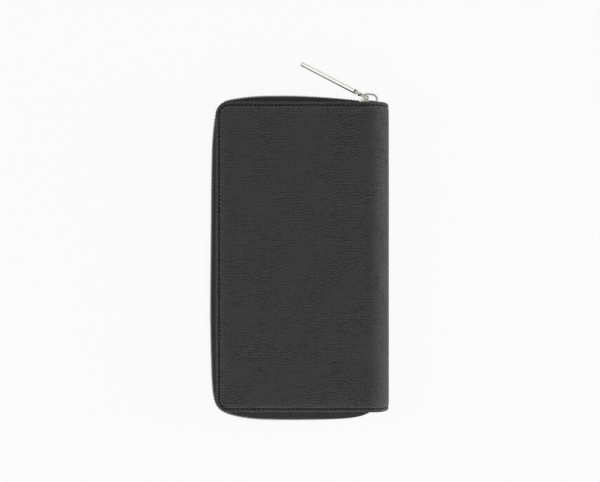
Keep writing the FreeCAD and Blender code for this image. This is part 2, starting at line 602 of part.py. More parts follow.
# Coin zip slider: plates each side of the tape, post between the tapes, small bail on the outer plate.
cx0 = ctx + ct / 2
cg, cp, cl, cw = 1.0, 0.7, 6.6, 3.9
bits = []
for sgn in (1, -1):
    x0 = cg if sgn > 0 else -cg - cp
    pl = Part.makeBox(cp, cl, cw, V(x0, -cl / 2, -cw / 2))
    ed = [e for e in pl.Edges if abs(e.Vertexes[0].Point.x - e.Vertexes[-1].Point.x) > 0.1]
    bits.append(pl.makeFillet(0.9, ed))
bits.append(Part.makeCylinder(0.5, 2 * cg + 0.2, V(-cg - 0.1, cl / 2 - 1.2, 0), V(1, 0, 0)))
coin_body = bits[0].multiFuse(bits[1:]).removeSplitter()
coin_frame = FreeCAD.Placement(V(cx0, CY, MID), FreeCAD.Rotation())
feature("coin_slider_body", coin_body, coin_frame)
xo = -cg - cp
hb = 1.7
cb = [Part.makeLine(V(xo + 0.2, -1.9, 0), V(xo - hb + 0.5, -1.9, 0)),
      Part.Arc(V(xo - hb + 0.5, -1.9, 0), V(xo - hb + 0.146, -1.754, 0), V(xo - hb, -1.4, 0)).toShape(),
      Part.makeLine(V(xo - hb, -1.4, 0), V(xo - hb, 1.4, 0)),
      Part.Arc(V(xo - hb, 1.4, 0), V(xo - hb + 0.146, 1.754, 0), V(xo - hb + 0.5, 1.9, 0)).toShape(),
      Part.makeLine(V(xo - hb + 0.5, 1.9, 0), V(xo + 0.2, 1.9, 0))]
cbail = pipe(cb, 0.35, V(xo + 0.2, -1.9, 0), V(-1, 0, 0)).cut(coin_body)
feature("coin_slider_bail", cbail, coin_frame)
# Coin puller: a thin tab whose eye goes round the bail; it turns about Z at the bail's foot.
tab_t, tab_l, tab_w = 0.6, 12.0, 3.0
coin_pull = Part.makeBox(tab_t, tab_l - 0.25, tab_w, V(-tab_t / 2, -tab_l, -tab_w / 2))
ends = [e for e in coin_pull.Edges if abs(e.Vertexes[0].Point.x - e.Vertexes[-1].Point.x) > 0.1
        and e.Vertexes[0].Point.y < -1]
coin_pull = coin_pull.makeFillet(1.2, ends)
coin_pull = coin_pull.cut(Part.makeBox(4, 2.8, 1.6, V(-2, -3.65, -0.8)))
feature("coin_puller", coin_pull, FreeCAD.Placement(V(cx0 + xo - 0.38, CY, MID), FreeCAD.Rotation()))

# ---------------------------------------------------------------- gussets
GT, GE, GF = D["gusset_t"], D["gusset_edge"], D["gusset_fold"]


def gusset(z_lo, z_hi, sy):
    """A leaf folded inwards between a cover's card panel and the coin pocket, one thin V."""
    zm = (z_lo + z_hi) / 2
    pts = [(GE, z_lo), (GF - 0.3, zm), (GE, z_hi), (GE, z_hi - GT), (GF + 1.7, zm), (GE, z_lo + GT)]
    w = Part.makePolygon([V(D["gusset_fore"], sy * a, b) for a, b in pts + pts[:1]])
    return Part.Face(w).extrude(V(D["gusset_root"] - D["gusset_fore"], 0, 0))


z_a = Z_STRIP + 4 * D["strip_t"] + 0.1
z_b = MID - g / 2 - D["pocket_wall_t"] - 0.1
for sy, end in ((1, "top"), (-1, "bottom")):
    feature("back_gusset_" + end, gusset(z_a, z_b, sy))
    feature("front_gusset_" + end, gusset(T - z_b, T - z_a, sy))

# ---------------------------------------------------------------- checks and export
doc.recompute()
bad = []
for obj in doc.Objects:
    if any(word in obj.State for word in ("Invalid", "Error")):
        bad.append((obj.Label, obj.State))
for obj in made:
    shape = obj.Shape
    if shape.isNull() or not shape.isValid() or not shape.Solids:
        bad.append((obj.Label, "shape"))
if bad:
    raise RuntimeError("failed objects: %s" % bad)
for old in os.listdir("parts"):
    if old.endswith(".step"):
        os.remove(os.path.join("parts", old))
for obj in made:
    obj.Shape.exportStep(os.path.join("parts", obj.Label + ".step"))
    b = obj.Shape.BoundBox
    print("%-26s %3d solids  vol %9.2f  x %.2f..%.2f  y %.2f..%.2f  z %.2f..%.2f" % (
        obj.Label, len(obj.Shape.Solids), obj.Shape.Volume, b.XMin, b.XMax, b.YMin, b.YMax, b.ZMin, b.ZMax))
print("swing point", swing, "pin", pin_at, "slider", slider_frame, "zip length", TOTAL)
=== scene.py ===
import math
import bpy
import bmesh
import numpy as np
from mathutils import Vector, Matrix, noise


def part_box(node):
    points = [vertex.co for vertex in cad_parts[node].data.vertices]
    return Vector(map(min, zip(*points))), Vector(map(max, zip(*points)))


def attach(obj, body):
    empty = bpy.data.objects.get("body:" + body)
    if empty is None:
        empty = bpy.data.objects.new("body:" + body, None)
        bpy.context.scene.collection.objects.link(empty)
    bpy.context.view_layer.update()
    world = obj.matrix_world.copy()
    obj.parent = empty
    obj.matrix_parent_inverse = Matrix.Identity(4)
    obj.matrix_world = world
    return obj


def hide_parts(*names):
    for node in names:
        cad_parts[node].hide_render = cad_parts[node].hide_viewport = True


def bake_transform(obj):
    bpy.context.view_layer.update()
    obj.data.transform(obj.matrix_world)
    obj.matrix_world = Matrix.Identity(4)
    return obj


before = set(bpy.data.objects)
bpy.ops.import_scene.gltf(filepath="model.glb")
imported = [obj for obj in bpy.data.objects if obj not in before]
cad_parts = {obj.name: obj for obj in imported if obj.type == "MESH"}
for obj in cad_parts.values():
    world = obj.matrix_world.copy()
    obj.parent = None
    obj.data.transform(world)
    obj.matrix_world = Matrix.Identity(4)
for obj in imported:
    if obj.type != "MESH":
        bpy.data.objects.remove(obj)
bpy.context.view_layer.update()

# Lengths are worked out in millimetres in this script and turned to metres when a mesh is made.
MM = 0.001
HW, HL = 52.5, 94.5            # half the cover, to the spine's outermost line and to the ends
T, MID, R = 24.0, 12.0, 12.0
XC = HW - R                    # axis of the rolled spine
CORNER = 8.0
FLAT = 2 * HW - R              # flat run of a cover, fore-edge to the start of the roll
ROLL = math.pi * R / 2         # length of a quarter turn of the roll
SMAX = FLAT + ROLL
PIVOT = (HW * MM, 0.0, MID * MM)

node_box = {n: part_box(n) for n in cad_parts}


# ------------------------------------------------------------------ mesh helpers
def smooth01(a, b, x):
    t = np.clip((np.asarray(x, float) - a) / (b - a), 0, 1)
    return t * t * (3 - 2 * t)


def make_mesh(name, verts, faces, uvs=None, smooth=True, attrs=None, sharp_angle=None):
    me = bpy.data.meshes.new(name)
    v = (np.asarray(verts, float) * MM)
    me.from_pydata(v.tolist(), [], [list(map(int, f)) for f in faces])
    me.update()
    if uvs is not None:
        uv = me.uv_layers.new(name="UVMap")
        idx = np.zeros(len(me.loops), dtype=np.int32)
        me.loops.foreach_get("vertex_index", idx)
        uv.data.foreach_set("uv", np.asarray(uvs, np.float32)[idx].ravel())
    for key, val in (attrs or {}).items():
        a = me.attributes.new(key, "FLOAT", "POINT")
        a.data.foreach_set("value", np.asarray(val, np.float32))
    ob = bpy.data.objects.new(name, me)
    bpy.context.scene.collection.objects.link(ob)
    if smooth:
        me.polygons.foreach_set("use_smooth", [True] * len(me.polygons))
        if sharp_angle is not None:
            me.set_sharp_from_angle(angle=math.radians(sharp_angle))
    return ob


def grid_faces(nu, nv, base=0, close_u=False, close_v=False, flip=False):
    """Quads of a grid whose vertex (i, j) is base + i * nv + j."""
    i = np.arange(nu if close_u else nu - 1)
    j = np.arange(nv if close_v else nv - 1)
    ii, jj = np.meshgrid(i, j, indexing="ij")
    i2, j2 = (ii + 1) % nu, (jj + 1) % nv
    q = np.stack([ii * nv + jj, i2 * nv + jj, i2 * nv + j2, ii * nv + j2], -1).reshape(-1, 4) + base
    return q[:, ::-1] if flip else q


def tube(path, radius, segs=12, closed=False, squash=1.0, up=(0, 0, 1), cap=True):
    """Vertices, faces and UVs of a round wire along path; radius may vary point by point."""
    p = np.asarray(path, float)
    n = len(p)
    rad = np.full(n, radius, float) if np.isscalar(radius) else np.asarray(radius, float)
    t = np.roll(p, -1, 0) - np.roll(p, 1, 0) if closed else np.gradient(p, axis=0)
    t /= np.linalg.norm(t, axis=1)[:, None]
    ref = np.asarray(up, float)
    verts, uvs = [], []
    run = 0.0
    for k in range(n):
        if k:
            run += np.linalg.norm(p[k] - p[k - 1])
        a = ref - t[k] * np.dot(ref, t[k])
        a /= np.linalg.norm(a)
        ref = a
        b = np.cross(t[k], a)
        for m in range(segs):
            w = 2 * math.pi * m / segs
            verts.append(p[k] + rad[k] * (a * math.cos(w) + b * math.sin(w) * squash))
            uvs.append((run / 100, m / segs * 2 * math.pi * rad[k] / 100))
    faces = grid_faces(n, segs, 0, closed, True, flip=True).tolist()
    if cap and not closed:
        faces.append(list(range(segs)))
        faces.append([(n - 1) * segs + m for m in range(segs)][::-1])
    return np.array(verts), faces, np.array(uvs)


def lathe(profile, segs=32, axis="x"):
    """Closed solid of revolution about X from (x, r) pairs; r = 0 at both ends."""
    verts, uvs = [], []
    for x, r in profile:
        for m in range(segs):
            w = 2 * math.pi * m / segs
            verts.append((x, r * math.cos(w), r * math.sin(w)))
            uvs.append((x / 100, w * max(r, 0.2) / 100))
    n = len(profile)
    faces = grid_faces(n, segs, 0, False, True).tolist()
    faces.append([m for m in range(segs)])
    faces.append([(n - 1) * segs + m for m in range(segs)][::-1])
    return np.array(verts), faces, np.array(uvs)


def prism(outline, lo, hi):
    """Extrudes a closed 2D outline (x, z) along y from lo to hi."""
    n = len(outline)
    verts = [(x, lo, z) for x, z in outline] + [(x, hi, z) for x, z in outline]
    faces = [list(range(n)), list(range(2 * n - 1, n - 1, -1))]
    faces += [[i, i + n, (i + 1) % n + n, (i + 1) % n] for i in range(n)]
    v = np.array(verts, float)
    return v, faces


def recalc(ob):
    bm = bmesh.new()
    bm.from_mesh(ob.data)
    bmesh.ops.recalc_face_normals(bm, faces=bm.faces)
    bm.to_mesh(ob.data)
    bm.free()


def finish_mods(ob, bevel=None, segs=3, angle=35, subsurf=0):
    """Bevels and subdivides ob in place, so that no modifier is left on it."""
    if bevel:
        m = ob.modifiers.new("bevel", "BEVEL")
        m.width = bevel * MM
        m.segments = segs
        m.limit_method = "ANGLE"
        m.angle_limit = math.radians(angle)
        m.harden_normals = False
    if subsurf:
        m = ob.modifiers.new("sub", "SUBSURF")
        m.levels = m.render_levels = subsurf
    dg = bpy.context.evaluated_depsgraph_get()
    me = bpy.data.meshes.new_from_object(ob.evaluated_get(dg))
    ob.modifiers.clear()
    old = ob.data
    ob.data = me
    me.name = old.name
    bpy.data.meshes.remove(old)
    ob.data.polygons.foreach_set("use_smooth", [True] * len(ob.data.polygons))
    return ob


def merge(parts):
    """Joins (verts, faces, uvs) lists into one."""
    vs, fs, us, base = [], [], [], 0
    for p in parts:
        v, f = p[0], p[1]
        u = p[2] if len(p) > 2 and p[2] is not None else np.zeros((len(v), 2))
        vs.append(np.asarray(v, float))
        us.append(np.asarray(u, float))
        fs += [[i + base for i in face] for face in f]
        base += len(v)
    return np.concatenate(vs), fs, np.concatenate(us)


def transform(v, mat):
    m = np.array(mat, float)
    return np.asarray(v) @ m[:3, :3].T + m[:3, 3]


# ------------------------------------------------------------------ materials
def new_mat(name):
    m = bpy.data.materials.new(name)
    m.use_nodes = True
    nt = m.node_tree
    nt.nodes.clear()
    out = nt.nodes.new("ShaderNodeOutputMaterial")
    b = nt.nodes.new("ShaderNodeBsdfPrincipled")
    nt.links.new(b.outputs[0], out.inputs[0])
    return m, nt, b


def N(nt, kind, **kw):
    n = nt.nodes.new("ShaderNode" + kind)
    for k, v in kw.items():
        if k in n.inputs:
            n.inputs[k].default_value = v
        else:
            setattr(n, k, v)
    return n


def ramp(nt, src, stops, interp="LINEAR"):
    r = nt.nodes.new("ShaderNodeValToRGB")
    r.color_ramp.interpolation = interp
    el = r.color_ramp.elements
    while len(el) < len(stops):
        el.new(0.5)
    for e, (p, c) in zip(el, stops):
        e.position = p
        e.color = c if len(c) == 4 else (*c, 1)
    nt.links.new(src, r.inputs[0])
    return r.outputs[0]


def math_node(nt, op, a, b=None, c=None):
    m = nt.nodes.new("ShaderNodeMath")
    m.operation = op
    for i, x in enumerate((a, b, c)):
        if x is None:
            continue
        if isinstance(x, (int, float)):
            m.inputs[i].default_value = x
        else:
            nt.links.new(x, m.inputs[i])
    return m.outputs[0]


def uv_vec(nt, scale, rotate=0.0, distort=None, amount=0.0):
    """UV coordinates in units of cells: UVs run at 100 mm to the unit."""
    uv = N(nt, "UVMap", uv_map="UVMap")
    mp = nt.nodes.new("ShaderNodeMapping")
    mp.inputs["Scale"].default_value = (scale[0], scale[1], 1)
    mp.inputs["Rotation"].default_value = (0, 0, rotate)
    nt.links.new(uv.outputs[0], mp.inputs[0])
    if distort is None:
        return mp.outputs[0]
    nz = N(nt, "TexNoise", Scale=distort, Detail=2.0, Roughness=0.5)
    nt.links.new(uv.outputs[0], nz.inputs["Vector"])
    sub = nt.nodes.new("ShaderNodeVectorMath")
    sub.operation = "SUBTRACT"
    nt.links.new(nz.outputs["Color"], sub.inputs[0])
    sub.inputs[1].default_value = (0.5, 0.5, 0.5)
    sc = nt.nodes.new("ShaderNodeVectorMath")
    sc.operation = "SCALE"
    nt.links.new(sub.outputs[0], sc.inputs[0])
    sc.inputs["Scale"].default_value = amount
    add = nt.nodes.new("ShaderNodeVectorMath")
    add.operation = "ADD"
    nt.links.new(mp.outputs[0], add.inputs[0])
    nt.links.new(sc.outputs[0], add.inputs[1])
    return add.outputs[0]


def vmath(nt, op, a, b=None, out=0):
    n = nt.nodes.new("ShaderNodeVectorMath")
    n.operation = op
    nt.links.new(a, n.inputs[0])
    if b is not None:
        nt.links.new(b, n.inputs[1])
    return n.outputs[out]


def crease_net(nt, vec, cell, core, width, upright=0.45, spread=0.85):
    """Creases of even width along the borders of drawn-out cells. cell, core and width are in mm;
    upright is how deep the creases are that run across the long way of the cells."""
    v1 = N(nt, "TexVoronoi", voronoi_dimensions="2D", feature="F1", Scale=1.0, Randomness=spread)
    v2 = N(nt, "TexVoronoi", voronoi_dimensions="2D", feature="F2", Scale=1.0, Randomness=spread)
    for v in (v1, v2):
        nt.links.new(vec, v.inputs["Vector"])
    p1, p2 = v1.outputs["Position"], v2.outputs["Position"]
    d = vmath(nt, "SUBTRACT", p2, p1)
    half = nt.nodes.new("ShaderNodeVectorMath")
    half.operation = "SCALE"
    nt.links.new(vmath(nt, "ADD", p1, p2), half.inputs[0])
    half.inputs["Scale"].default_value = 0.5
    f = vmath(nt, "DOT_PRODUCT", vmath(nt, "SUBTRACT", half.outputs[0], vec), d, out="Value")
    sep = nt.nodes.new("ShaderNodeSeparateXYZ")
    nt.links.new(d, sep.inputs[0])
    gx = math_node(nt, "MULTIPLY", sep.outputs[0], 1 / cell[0])
    gy = math_node(nt, "MULTIPLY", sep.outputs[1], 1 / cell[1])
    g2 = math_node(nt, "ADD", math_node(nt, "MULTIPLY", gx, gx), math_node(nt, "MULTIPLY", gy, gy))
    g = math_node(nt, "ADD", math_node(nt, "SQRT", g2, 0.0), 0.0001)
    dist = math_node(nt, "DIVIDE", f, g)
    flat = math_node(nt, "DIVIDE", math_node(nt, "ABSOLUTE", gy, 0.0), g)
    line = ramp(nt, dist, [(0.0, (1,) * 3), (core, (0.8,) * 3), (width, (0,) * 3)], "EASE")
    share = math_node(nt, "ADD", math_node(nt, "MULTIPLY", flat, 1 - upright), upright)
    return math_node(nt, "MULTIPLY", line, share)


def leather(name, dark, light, rough=(0.46, 0.62), cell=(3.9, 1.6), small_cell=(1.5, 0.95), bump=0.85, depth=0.00028,
            fine=0.22, spec=0.235, core=0.16, width=0.42, tone_var=1.0, hide=False):
    """Pebbled leather on UVs: drawn-out scales parted by thin creases that run across the piece, small
    pebbles inside them, pores, and painted shade in the creases that leaves the crowns lighter. On the covers (hide)
    the grain is rounder over the roll; painted highlights lighten the margin's rim, the padded edge and the roll, and
    painted shade darkens the stitching channel."""
    m, nt, b = new_mat(name)
    uvn = N(nt, "UVMap", uv_map="UVMap")
    vec = uv_vec(nt, (100 / cell[0], 100 / cell[1]), rotate=0.0, distort=34, amount=0.6)
    line = crease_net(nt, vec, cell, core, width, 0.3)
    if hide:
        rc = (2.0, 1.35)
        vr = uv_vec(nt, (100 / rc[0], 100 / rc[1]), rotate=0.0, distort=60, amount=0.6)
        round_line = crease_net(nt, vr, rc, core * 0.9, width * 0.95, 0.85)
        at = nt.nodes.new("ShaderNodeAttribute")
        at.attribute_name = "roll_mm"
        w = ramp(nt, math_node(nt, "MULTIPLY", at.outputs["Fac"], 0.1), [(0.0, (0,) * 3), (0.4, (1,) * 3)])
        line = math_node(nt, "ADD", math_node(nt, "MULTIPLY", line, math_node(nt, "SUBTRACT", 1.0, w)),
                         math_node(nt, "MULTIPLY", round_line, w))
    vec2 = uv_vec(nt, (100 / small_cell[0], 100 / small_cell[1]), rotate=-0.08, distort=150, amount=0.4)
    v2 = N(nt, "TexVoronoi", feature="SMOOTH_F1", Scale=1.0, Smoothness=0.5, Randomness=1.0)
    nt.links.new(vec2, v2.inputs["Vector"])
    small = crease_net(nt, vec2, small_cell, 0.07, 0.24, 0.7, 1.0)
    # where creases are deep and where they fade
    brk = N(nt, "TexNoise", Scale=30.0, Detail=3.0, Roughness=0.6)
    nt.links.new(uvn.outputs[0], brk.inputs["Vector"])
    big = N(nt, "TexNoise", Scale=4.5, Detail=3.0, Roughness=0.55)
    nt.links.new(uvn.outputs[0], big.inputs["Vector"])
    line = math_node(nt, "MULTIPLY", line, ramp(nt, brk.outputs[0], [(0.36, (0.5,) * 3), (0.58, (1,) * 3)]))
    line = math_node(nt, "MULTIPLY", line, ramp(nt, big.outputs[0], [(0.35, (0.55,) * 3), (0.6, (1,) * 3)]))
    fn = N(nt, "TexNoise", Scale=420.0, Detail=4.0, Roughness=0.65)
    nt.links.new(uvn.outputs[0], fn.inputs["Vector"])
    dome = math_node(nt, "SUBTRACT", 1.0, v2.outputs["Distance"])
    hgt = math_node(nt, "SUBTRACT", math_node(nt, "MULTIPLY", dome, 0.40), math_node(nt, "MULTIPLY", line, 0.8))
    hgt = math_node(nt, "SUBTRACT", hgt, math_node(nt, "MULTIPLY", small, 0.16))
    hgt = math_node(nt, "ADD", hgt, math_node(nt, "MULTIPLY", fn.outputs[0], fine))
    bp = nt.nodes.new("ShaderNodeBump")
    bp.inputs["Strength"].default_value = bump
    bp.inputs["Distance"].default_value = depth
    nt.links.new(hgt, bp.inputs["Height"])
    nt.links.new(bp.outputs[0], b.inputs["Normal"])
    # tone: painted shade in the creases, the crowns left lighter
    low = math_node(nt, "MULTIPLY", line, tone_var)
    low = math_node(nt, "ADD", low, math_node(nt, "MULTIPLY", small, 0.34 * tone_var))
    tone = math_node(nt, "SUBTRACT", 1.0, low)
    tone = math_node(nt, "MULTIPLY", tone, ramp(nt, big.outputs[0], [(0.3, (0.93,) * 3), (0.7, (1,) * 3)]))
    if hide:
        # painted light along the cover's edge, by distance in from the outline: dark down the edge wall and under the
        # turned edge, a painted highlight on the margin's rim, painted shade in the stitching channel, and a painted
        # highlight on the padded edge inside the stitching that fades out by 8 mm; the light colour is raised so that
        # these highlights can pass it
        ed = nt.nodes.new("ShaderNodeAttribute")
        ed.attribute_name = "edge_mm"
        stops = [(0.0, 0.2), (0.30, 0.4), (0.46, 1.0), (0.9, 1.0), (1.35, 0.70), (1.85, 0.61), (2.12, 0.48), (2.64, 0.45),
                 (2.84, 0.62), (3.12, 0.90), (3.7, 0.84), (5.0, 0.69), (8.0, 0.60)]
        k = ramp(nt, math_node(nt, "MULTIPLY", ed.outputs["Fac"], 0.1), [(q / 10, (v,) * 3) for q, v in stops])
        # painted highlight: the rolled spine grows lighter towards its outer side
        roll_painted_highlight = ramp(nt, math_node(nt, "MULTIPLY", at.outputs["Fac"], 0.05), [(q / 20, (v / 1.75,) * 3) for q, v in ((0.5, 1.0), (3.9, 1.34), (7.2, 1.63), (11.6, 1.73), (14.5, 1.48), (18.8, 1.40))])
        tone = math_node(nt, "MULTIPLY", math_node(nt, "MULTIPLY", tone, k), math_node(nt, "MULTIPLY", roll_painted_highlight, 1.75))
        light = tuple(c / 0.6 for c in light)
    mix = nt.nodes.new("ShaderNodeMix")
    mix.data_type = "RGBA"
    nt.links.new(tone, mix.inputs[0])
    mix.inputs[6].default_value = (*dark, 1)
    mix.inputs[7].default_value = (*light, 1)
    nt.links.new(mix.outputs[2], b.inputs["Base Color"])
    top = 0.6 if hide else 1.0
    rr = ramp(nt, math_node(nt, "ADD", math_node(nt, "MULTIPLY", tone, 0.6 / top), math_node(nt, "MULTIPLY", fn.outputs[0], 0.4)),
              [(0.15, (min(1.0, rough[1] + 0.3),) * 3), (0.55, (rough[1],) * 3), (0.9, (rough[0],) * 3)])
    nt.links.new(rr, b.inputs["Roughness"])
    b.inputs["Specular IOR Level"].default_value = spec
    return m


def weave(name, dark, light, pitch=(0.35, 0.5), bump=0.5, depth=0.00006, rough=0.8, herring=True, sheen=0.15, spec=0.3):
    """Woven tape or lining: ribs along the cloth crossed by a finer weft."""
    m, nt, b = new_mat(name)
    vec = uv_vec(nt, (100 / pitch[0], 100 / pitch[1]), distort=60, amount=0.25)
    sep = nt.nodes.new("ShaderNodeSeparateXYZ")
    nt.links.new(vec, sep.inputs[0])
    sx, sy = sep.outputs[0], sep.outputs[1]
    if herring:
        zig = math_node(nt, "PINGPONG", sy, 1.0)
        sx = math_node(nt, "ADD", sx, math_node(nt, "MULTIPLY", zig, 0.9))
    a = math_node(nt, "SINE", math_node(nt, "MULTIPLY", sx, 2 * math.pi))
    c = math_node(nt, "SINE", math_node(nt, "MULTIPLY", sy, 2 * math.pi))
    h = math_node(nt, "ADD", math_node(nt, "MULTIPLY", a, 0.5), math_node(nt, "MULTIPLY", c, 0.35))
    nz = N(nt, "TexNoise", Scale=500.0, Detail=3.0, Roughness=0.6)
    uvn = N(nt, "UVMap", uv_map="UVMap")
    nt.links.new(uvn.outputs[0], nz.inputs["Vector"])
    h2 = math_node(nt, "ADD", h, math_node(nt, "MULTIPLY", nz.outputs[0], 0.5))
    bp = nt.nodes.new("ShaderNodeBump")
    bp.inputs["Strength"].default_value = bump
    bp.inputs["Distance"].default_value = depth
    nt.links.new(h2, bp.inputs["Height"])
    nt.links.new(bp.outputs[0], b.inputs["Normal"])
    mix = nt.nodes.new("ShaderNodeMix")
    mix.data_type = "RGBA"
    nt.links.new(ramp(nt, h2, [(0.0, (0,) * 3), (0.9, (1,) * 3)]), mix.inputs[0])
    mix.inputs[6].default_value = (*dark, 1)
    mix.inputs[7].default_value = (*light, 1)
    nt.links.new(mix.outputs[2], b.inputs["Base Color"])
    b.inputs["Roughness"].default_value = rough
    b.inputs["Sheen Weight"].default_value = sheen
    b.inputs["Sheen Roughness"].default_value = 0.4
    b.inputs["Specular IOR Level"].default_value = spec
    return m


def metal(name, colour, rough=(0.1, 0.22), metallic=1.0, scratch=0.04, spec=0.5, tex="Object", scale=900.0):
    """Plated metal: fine handling marks in the gloss, slight tone change, tiny surface waves."""
    m, nt, b = new_mat(name)
    co = nt.nodes.new("ShaderNodeTexCoord")
    src = co.outputs[tex]
    nz = N(nt, "TexNoise", Scale=scale, Detail=4.0, Roughness=0.6)
    nt.links.new(src, nz.inputs["Vector"])
    mp = nt.nodes.new("ShaderNodeMapping")
    mp.inputs["Scale"].default_value = (scale * 0.5, scale * 6, scale * 6)
    nt.links.new(src, mp.inputs[0])
    st = N(nt, "TexNoise", Scale=1.0, Detail=2.0)
    nt.links.new(mp.outputs[0], st.inputs["Vector"])
    mixv = math_node(nt, "ADD", math_node(nt, "MULTIPLY", nz.outputs[0], 0.6), math_node(nt, "MULTIPLY", st.outputs[0], 0.4))
    nt.links.new(ramp(nt, mixv, [(0.3, (rough[0],) * 3), (0.75, (rough[1],) * 3)]), b.inputs["Roughness"])
    low = tuple(c * 0.86 for c in colour)
    nt.links.new(ramp(nt, nz.outputs[0], [(0.3, low), (0.6, colour)]), b.inputs["Base Color"])
    b.inputs["Metallic"].default_value = metallic
    b.inputs["Specular IOR Level"].default_value = spec
    bp = nt.nodes.new("ShaderNodeBump")
    bp.inputs["Strength"].default_value = scratch
    bp.inputs["Distance"].default_value = 0.00002
    nt.links.new(mixv, bp.inputs["Height"])
    nt.links.new(bp.outputs[0], b.inputs["Normal"])
    return m


def thread_mat(name, dark, light):
    m, nt, b = new_mat(name)
    uvn = N(nt, "UVMap", uv_map="UVMap")
    mp = nt.nodes.new("ShaderNodeMapping")
    mp.inputs["Rotation"].default_value = (0, 0, 0.6)
    mp.inputs["Scale"].default_value = (330, 330, 1)
    nt.links.new(uvn.outputs[0], mp.inputs[0])
    wv = N(nt, "TexWave", Scale=1.0, Distortion=0.6)
    nt.links.new(mp.outputs[0], wv.inputs["Vector"])
    bp = nt.nodes.new("ShaderNodeBump")
    bp.inputs["Strength"].default_value = 0.6
    bp.inputs["Distance"].default_value = 0.00006
    nt.links.new(wv.outputs[1], bp.inputs["Height"])
    nt.links.new(bp.outputs[0], b.inputs["Normal"])
    nt.links.new(ramp(nt, wv.outputs[1], [(0.1, dark), (0.9, light)]), b.inputs["Base Color"])
    b.inputs["Roughness"].default_value = 0.8
    b.inputs["Specular IOR Level"].default_value = 0.1
    return m


def foam_mat(name, dark, light, scale=160.0):
    m, nt, b = new_mat(name)
    co = nt.nodes.new("ShaderNodeTexCoord")
    v = N(nt, "TexVoronoi", Scale=scale * 10)
    nt.links.new(co.outputs["Object"], v.inputs["Vector"])
    nt.links.new(ramp(nt, v.outputs["Distance"], [(0.0, dark), (0.8, light)]), b.inputs["Base Color"])
    bp = nt.nodes.new("ShaderNodeBump")
    bp.inputs["Strength"].default_value = 0.4
    bp.inputs["Distance"].default_value = 0.0001
    nt.links.new(v.outputs["Distance"], bp.inputs["Height"])
    nt.links.new(bp.outputs[0], b.inputs["Normal"])
    b.inputs["Roughness"].default_value = 0.85
    return m


M_COVER = leather("cover_leather", (0.0025, 0.0025, 0.0025), (0.0230, 0.0230, 0.0231), cell=(3.4, 1.7), tone_var=0.74, hide=True)
M_PANEL = leather("panel_leather", (0.014, 0.014, 0.014), (0.064, 0.064, 0.0645), cell=(1.9, 1.2), small_cell=(0.7, 0.5), core=0.06, width=0.2, bump=0.3,
                  depth=0.0001, rough=(0.5, 0.65))
M_GUSSET = leather("gusset_leather", (0.013, 0.013, 0.013), (0.052, 0.052, 0.052), cell=(1.7, 1.3), small_cell=(0.7, 0.5), core=0.06, width=0.2, bump=0.3,
                   depth=0.0001, rough=(0.52, 0.68))
M_LINING = weave("lining_twill", (0.036, 0.036, 0.038), (0.122, 0.122, 0.128), pitch=(0.55, 0.55))
M_TAPE = weave("zip_tape_weave", (0.012, 0.012, 0.0122), (0.038, 0.038, 0.039), pitch=(0.55, 0.7), sheen=0.0, spec=0.05, rough=0.92)
M_TEETH = metal("black_teeth", (0.007, 0.0066, 0.0058), rough=(0.55, 0.7), metallic=0.0, spec=0.07)
M_NICKEL = metal("nickel", (0.93, 0.915, 0.88), rough=(0.06, 0.14))
# a darker, warmer copy of the nickel: painted shade on the bail and the eye ring
M_NICKEL_SHADED = metal("nickel_in_shade", (0.80, 0.75, 0.66), rough=(0.14, 0.26))
# black and matt: painted shade for the gap in the bar's knuckle
M_KNUCKLE_SHADE = metal("black_knuckle_shade", (0.006, 0.006, 0.006), rough=(0.6, 0.75), metallic=0.0, spec=0.03)
M_THREAD = thread_mat("black_thread", (0.0015, 0.0015, 0.0015), (0.005, 0.005, 0.005))
M_FOAM = foam_mat("foam", (0.12, 0.12, 0.12), (0.25, 0.25, 0.24))
M_BOARD = foam_mat("fibre_board", (0.2, 0.17, 0.13), (0.34, 0.3, 0.24), scale=60)


def dress(ob, mat):
    ob.data.materials.clear()
    ob.data.materials.append(mat)
    return ob


# ------------------------------------------------------------------ the cover skin in its own flat map
# s runs from the fore-edge to the fold line at the spine, y along the wallet. h is out of the leather.
def taper(s):
    """The ends of the roll draw in a little towards the fold line."""
    phi = np.clip((np.asarray(s, float) - FLAT) / R, 0, math.pi / 2)
    return 1.9 * np.clip((phi - math.radians(20)) / math.radians(70), 0, 1) ** 1.7


def place(s, y, h, side, taper_on=True):
    """Flat map to space. side is 1 for the front cover, -1 for the back cover."""
    s, y, h = (np.asarray(a, float) for a in (s, y, h))
    if taper_on:
        y = y * (1 - taper(s) / HL)
    phi = np.clip((s - FLAT) / R, 0, None)
    sn, cs = np.sin(phi), np.cos(phi)
    x = np.where(s <= FLAT, -HW + s, XC + (R + h) * sn)
    z = np.where(s <= FLAT, R + h, (R + h) * cs)
    return np.stack([x, y, MID + side * z], -1)


def edge_distance(s, y):
    """Distance in from the cover's outline in the flat map."""
    s, y = np.asarray(s, float), np.abs(np.asarray(y, float))
    d = np.minimum(s, HL - y)
    cx, cy = CORNER, HL - CORNER
    in_corner = (s < cx) & (y > cy)
    dc = CORNER - np.hypot(cx - s, y - cy)
    return np.where(in_corner, dc, d)


STITCH_D = 2.42


def skin_height(s, y, side, rough_scale=1.0):
    d = edge_distance(s, y)
    fade = 1 - smooth01(84, 106, s)
    h = -0.16 * (1 - smooth01(2.4, 3.2, d))
    h = h - 0.26 * np.exp(-((d - STITCH_D) / 0.34) ** 2) + 0.14 * (1 - fade)
    if side > 0:
        h = h + 0.46 * (1 - np.exp(-np.clip(d - 2.70, 0, None) / 1.25)) * (0.25 + 0.75 * fade)
        h = h + 0.12 * (1 - np.exp(-np.clip(d - 2.7, 0, None) / 14.0)) * fade
    else:
        h = h - 0.10
    e = 0.62
    q = np.clip(1 - (d - INSET) / e, 0, 1)
    h = h - 0.8 * e * (1 - np.sqrt(np.clip(1 - q * q, 0, 1)))
    return h


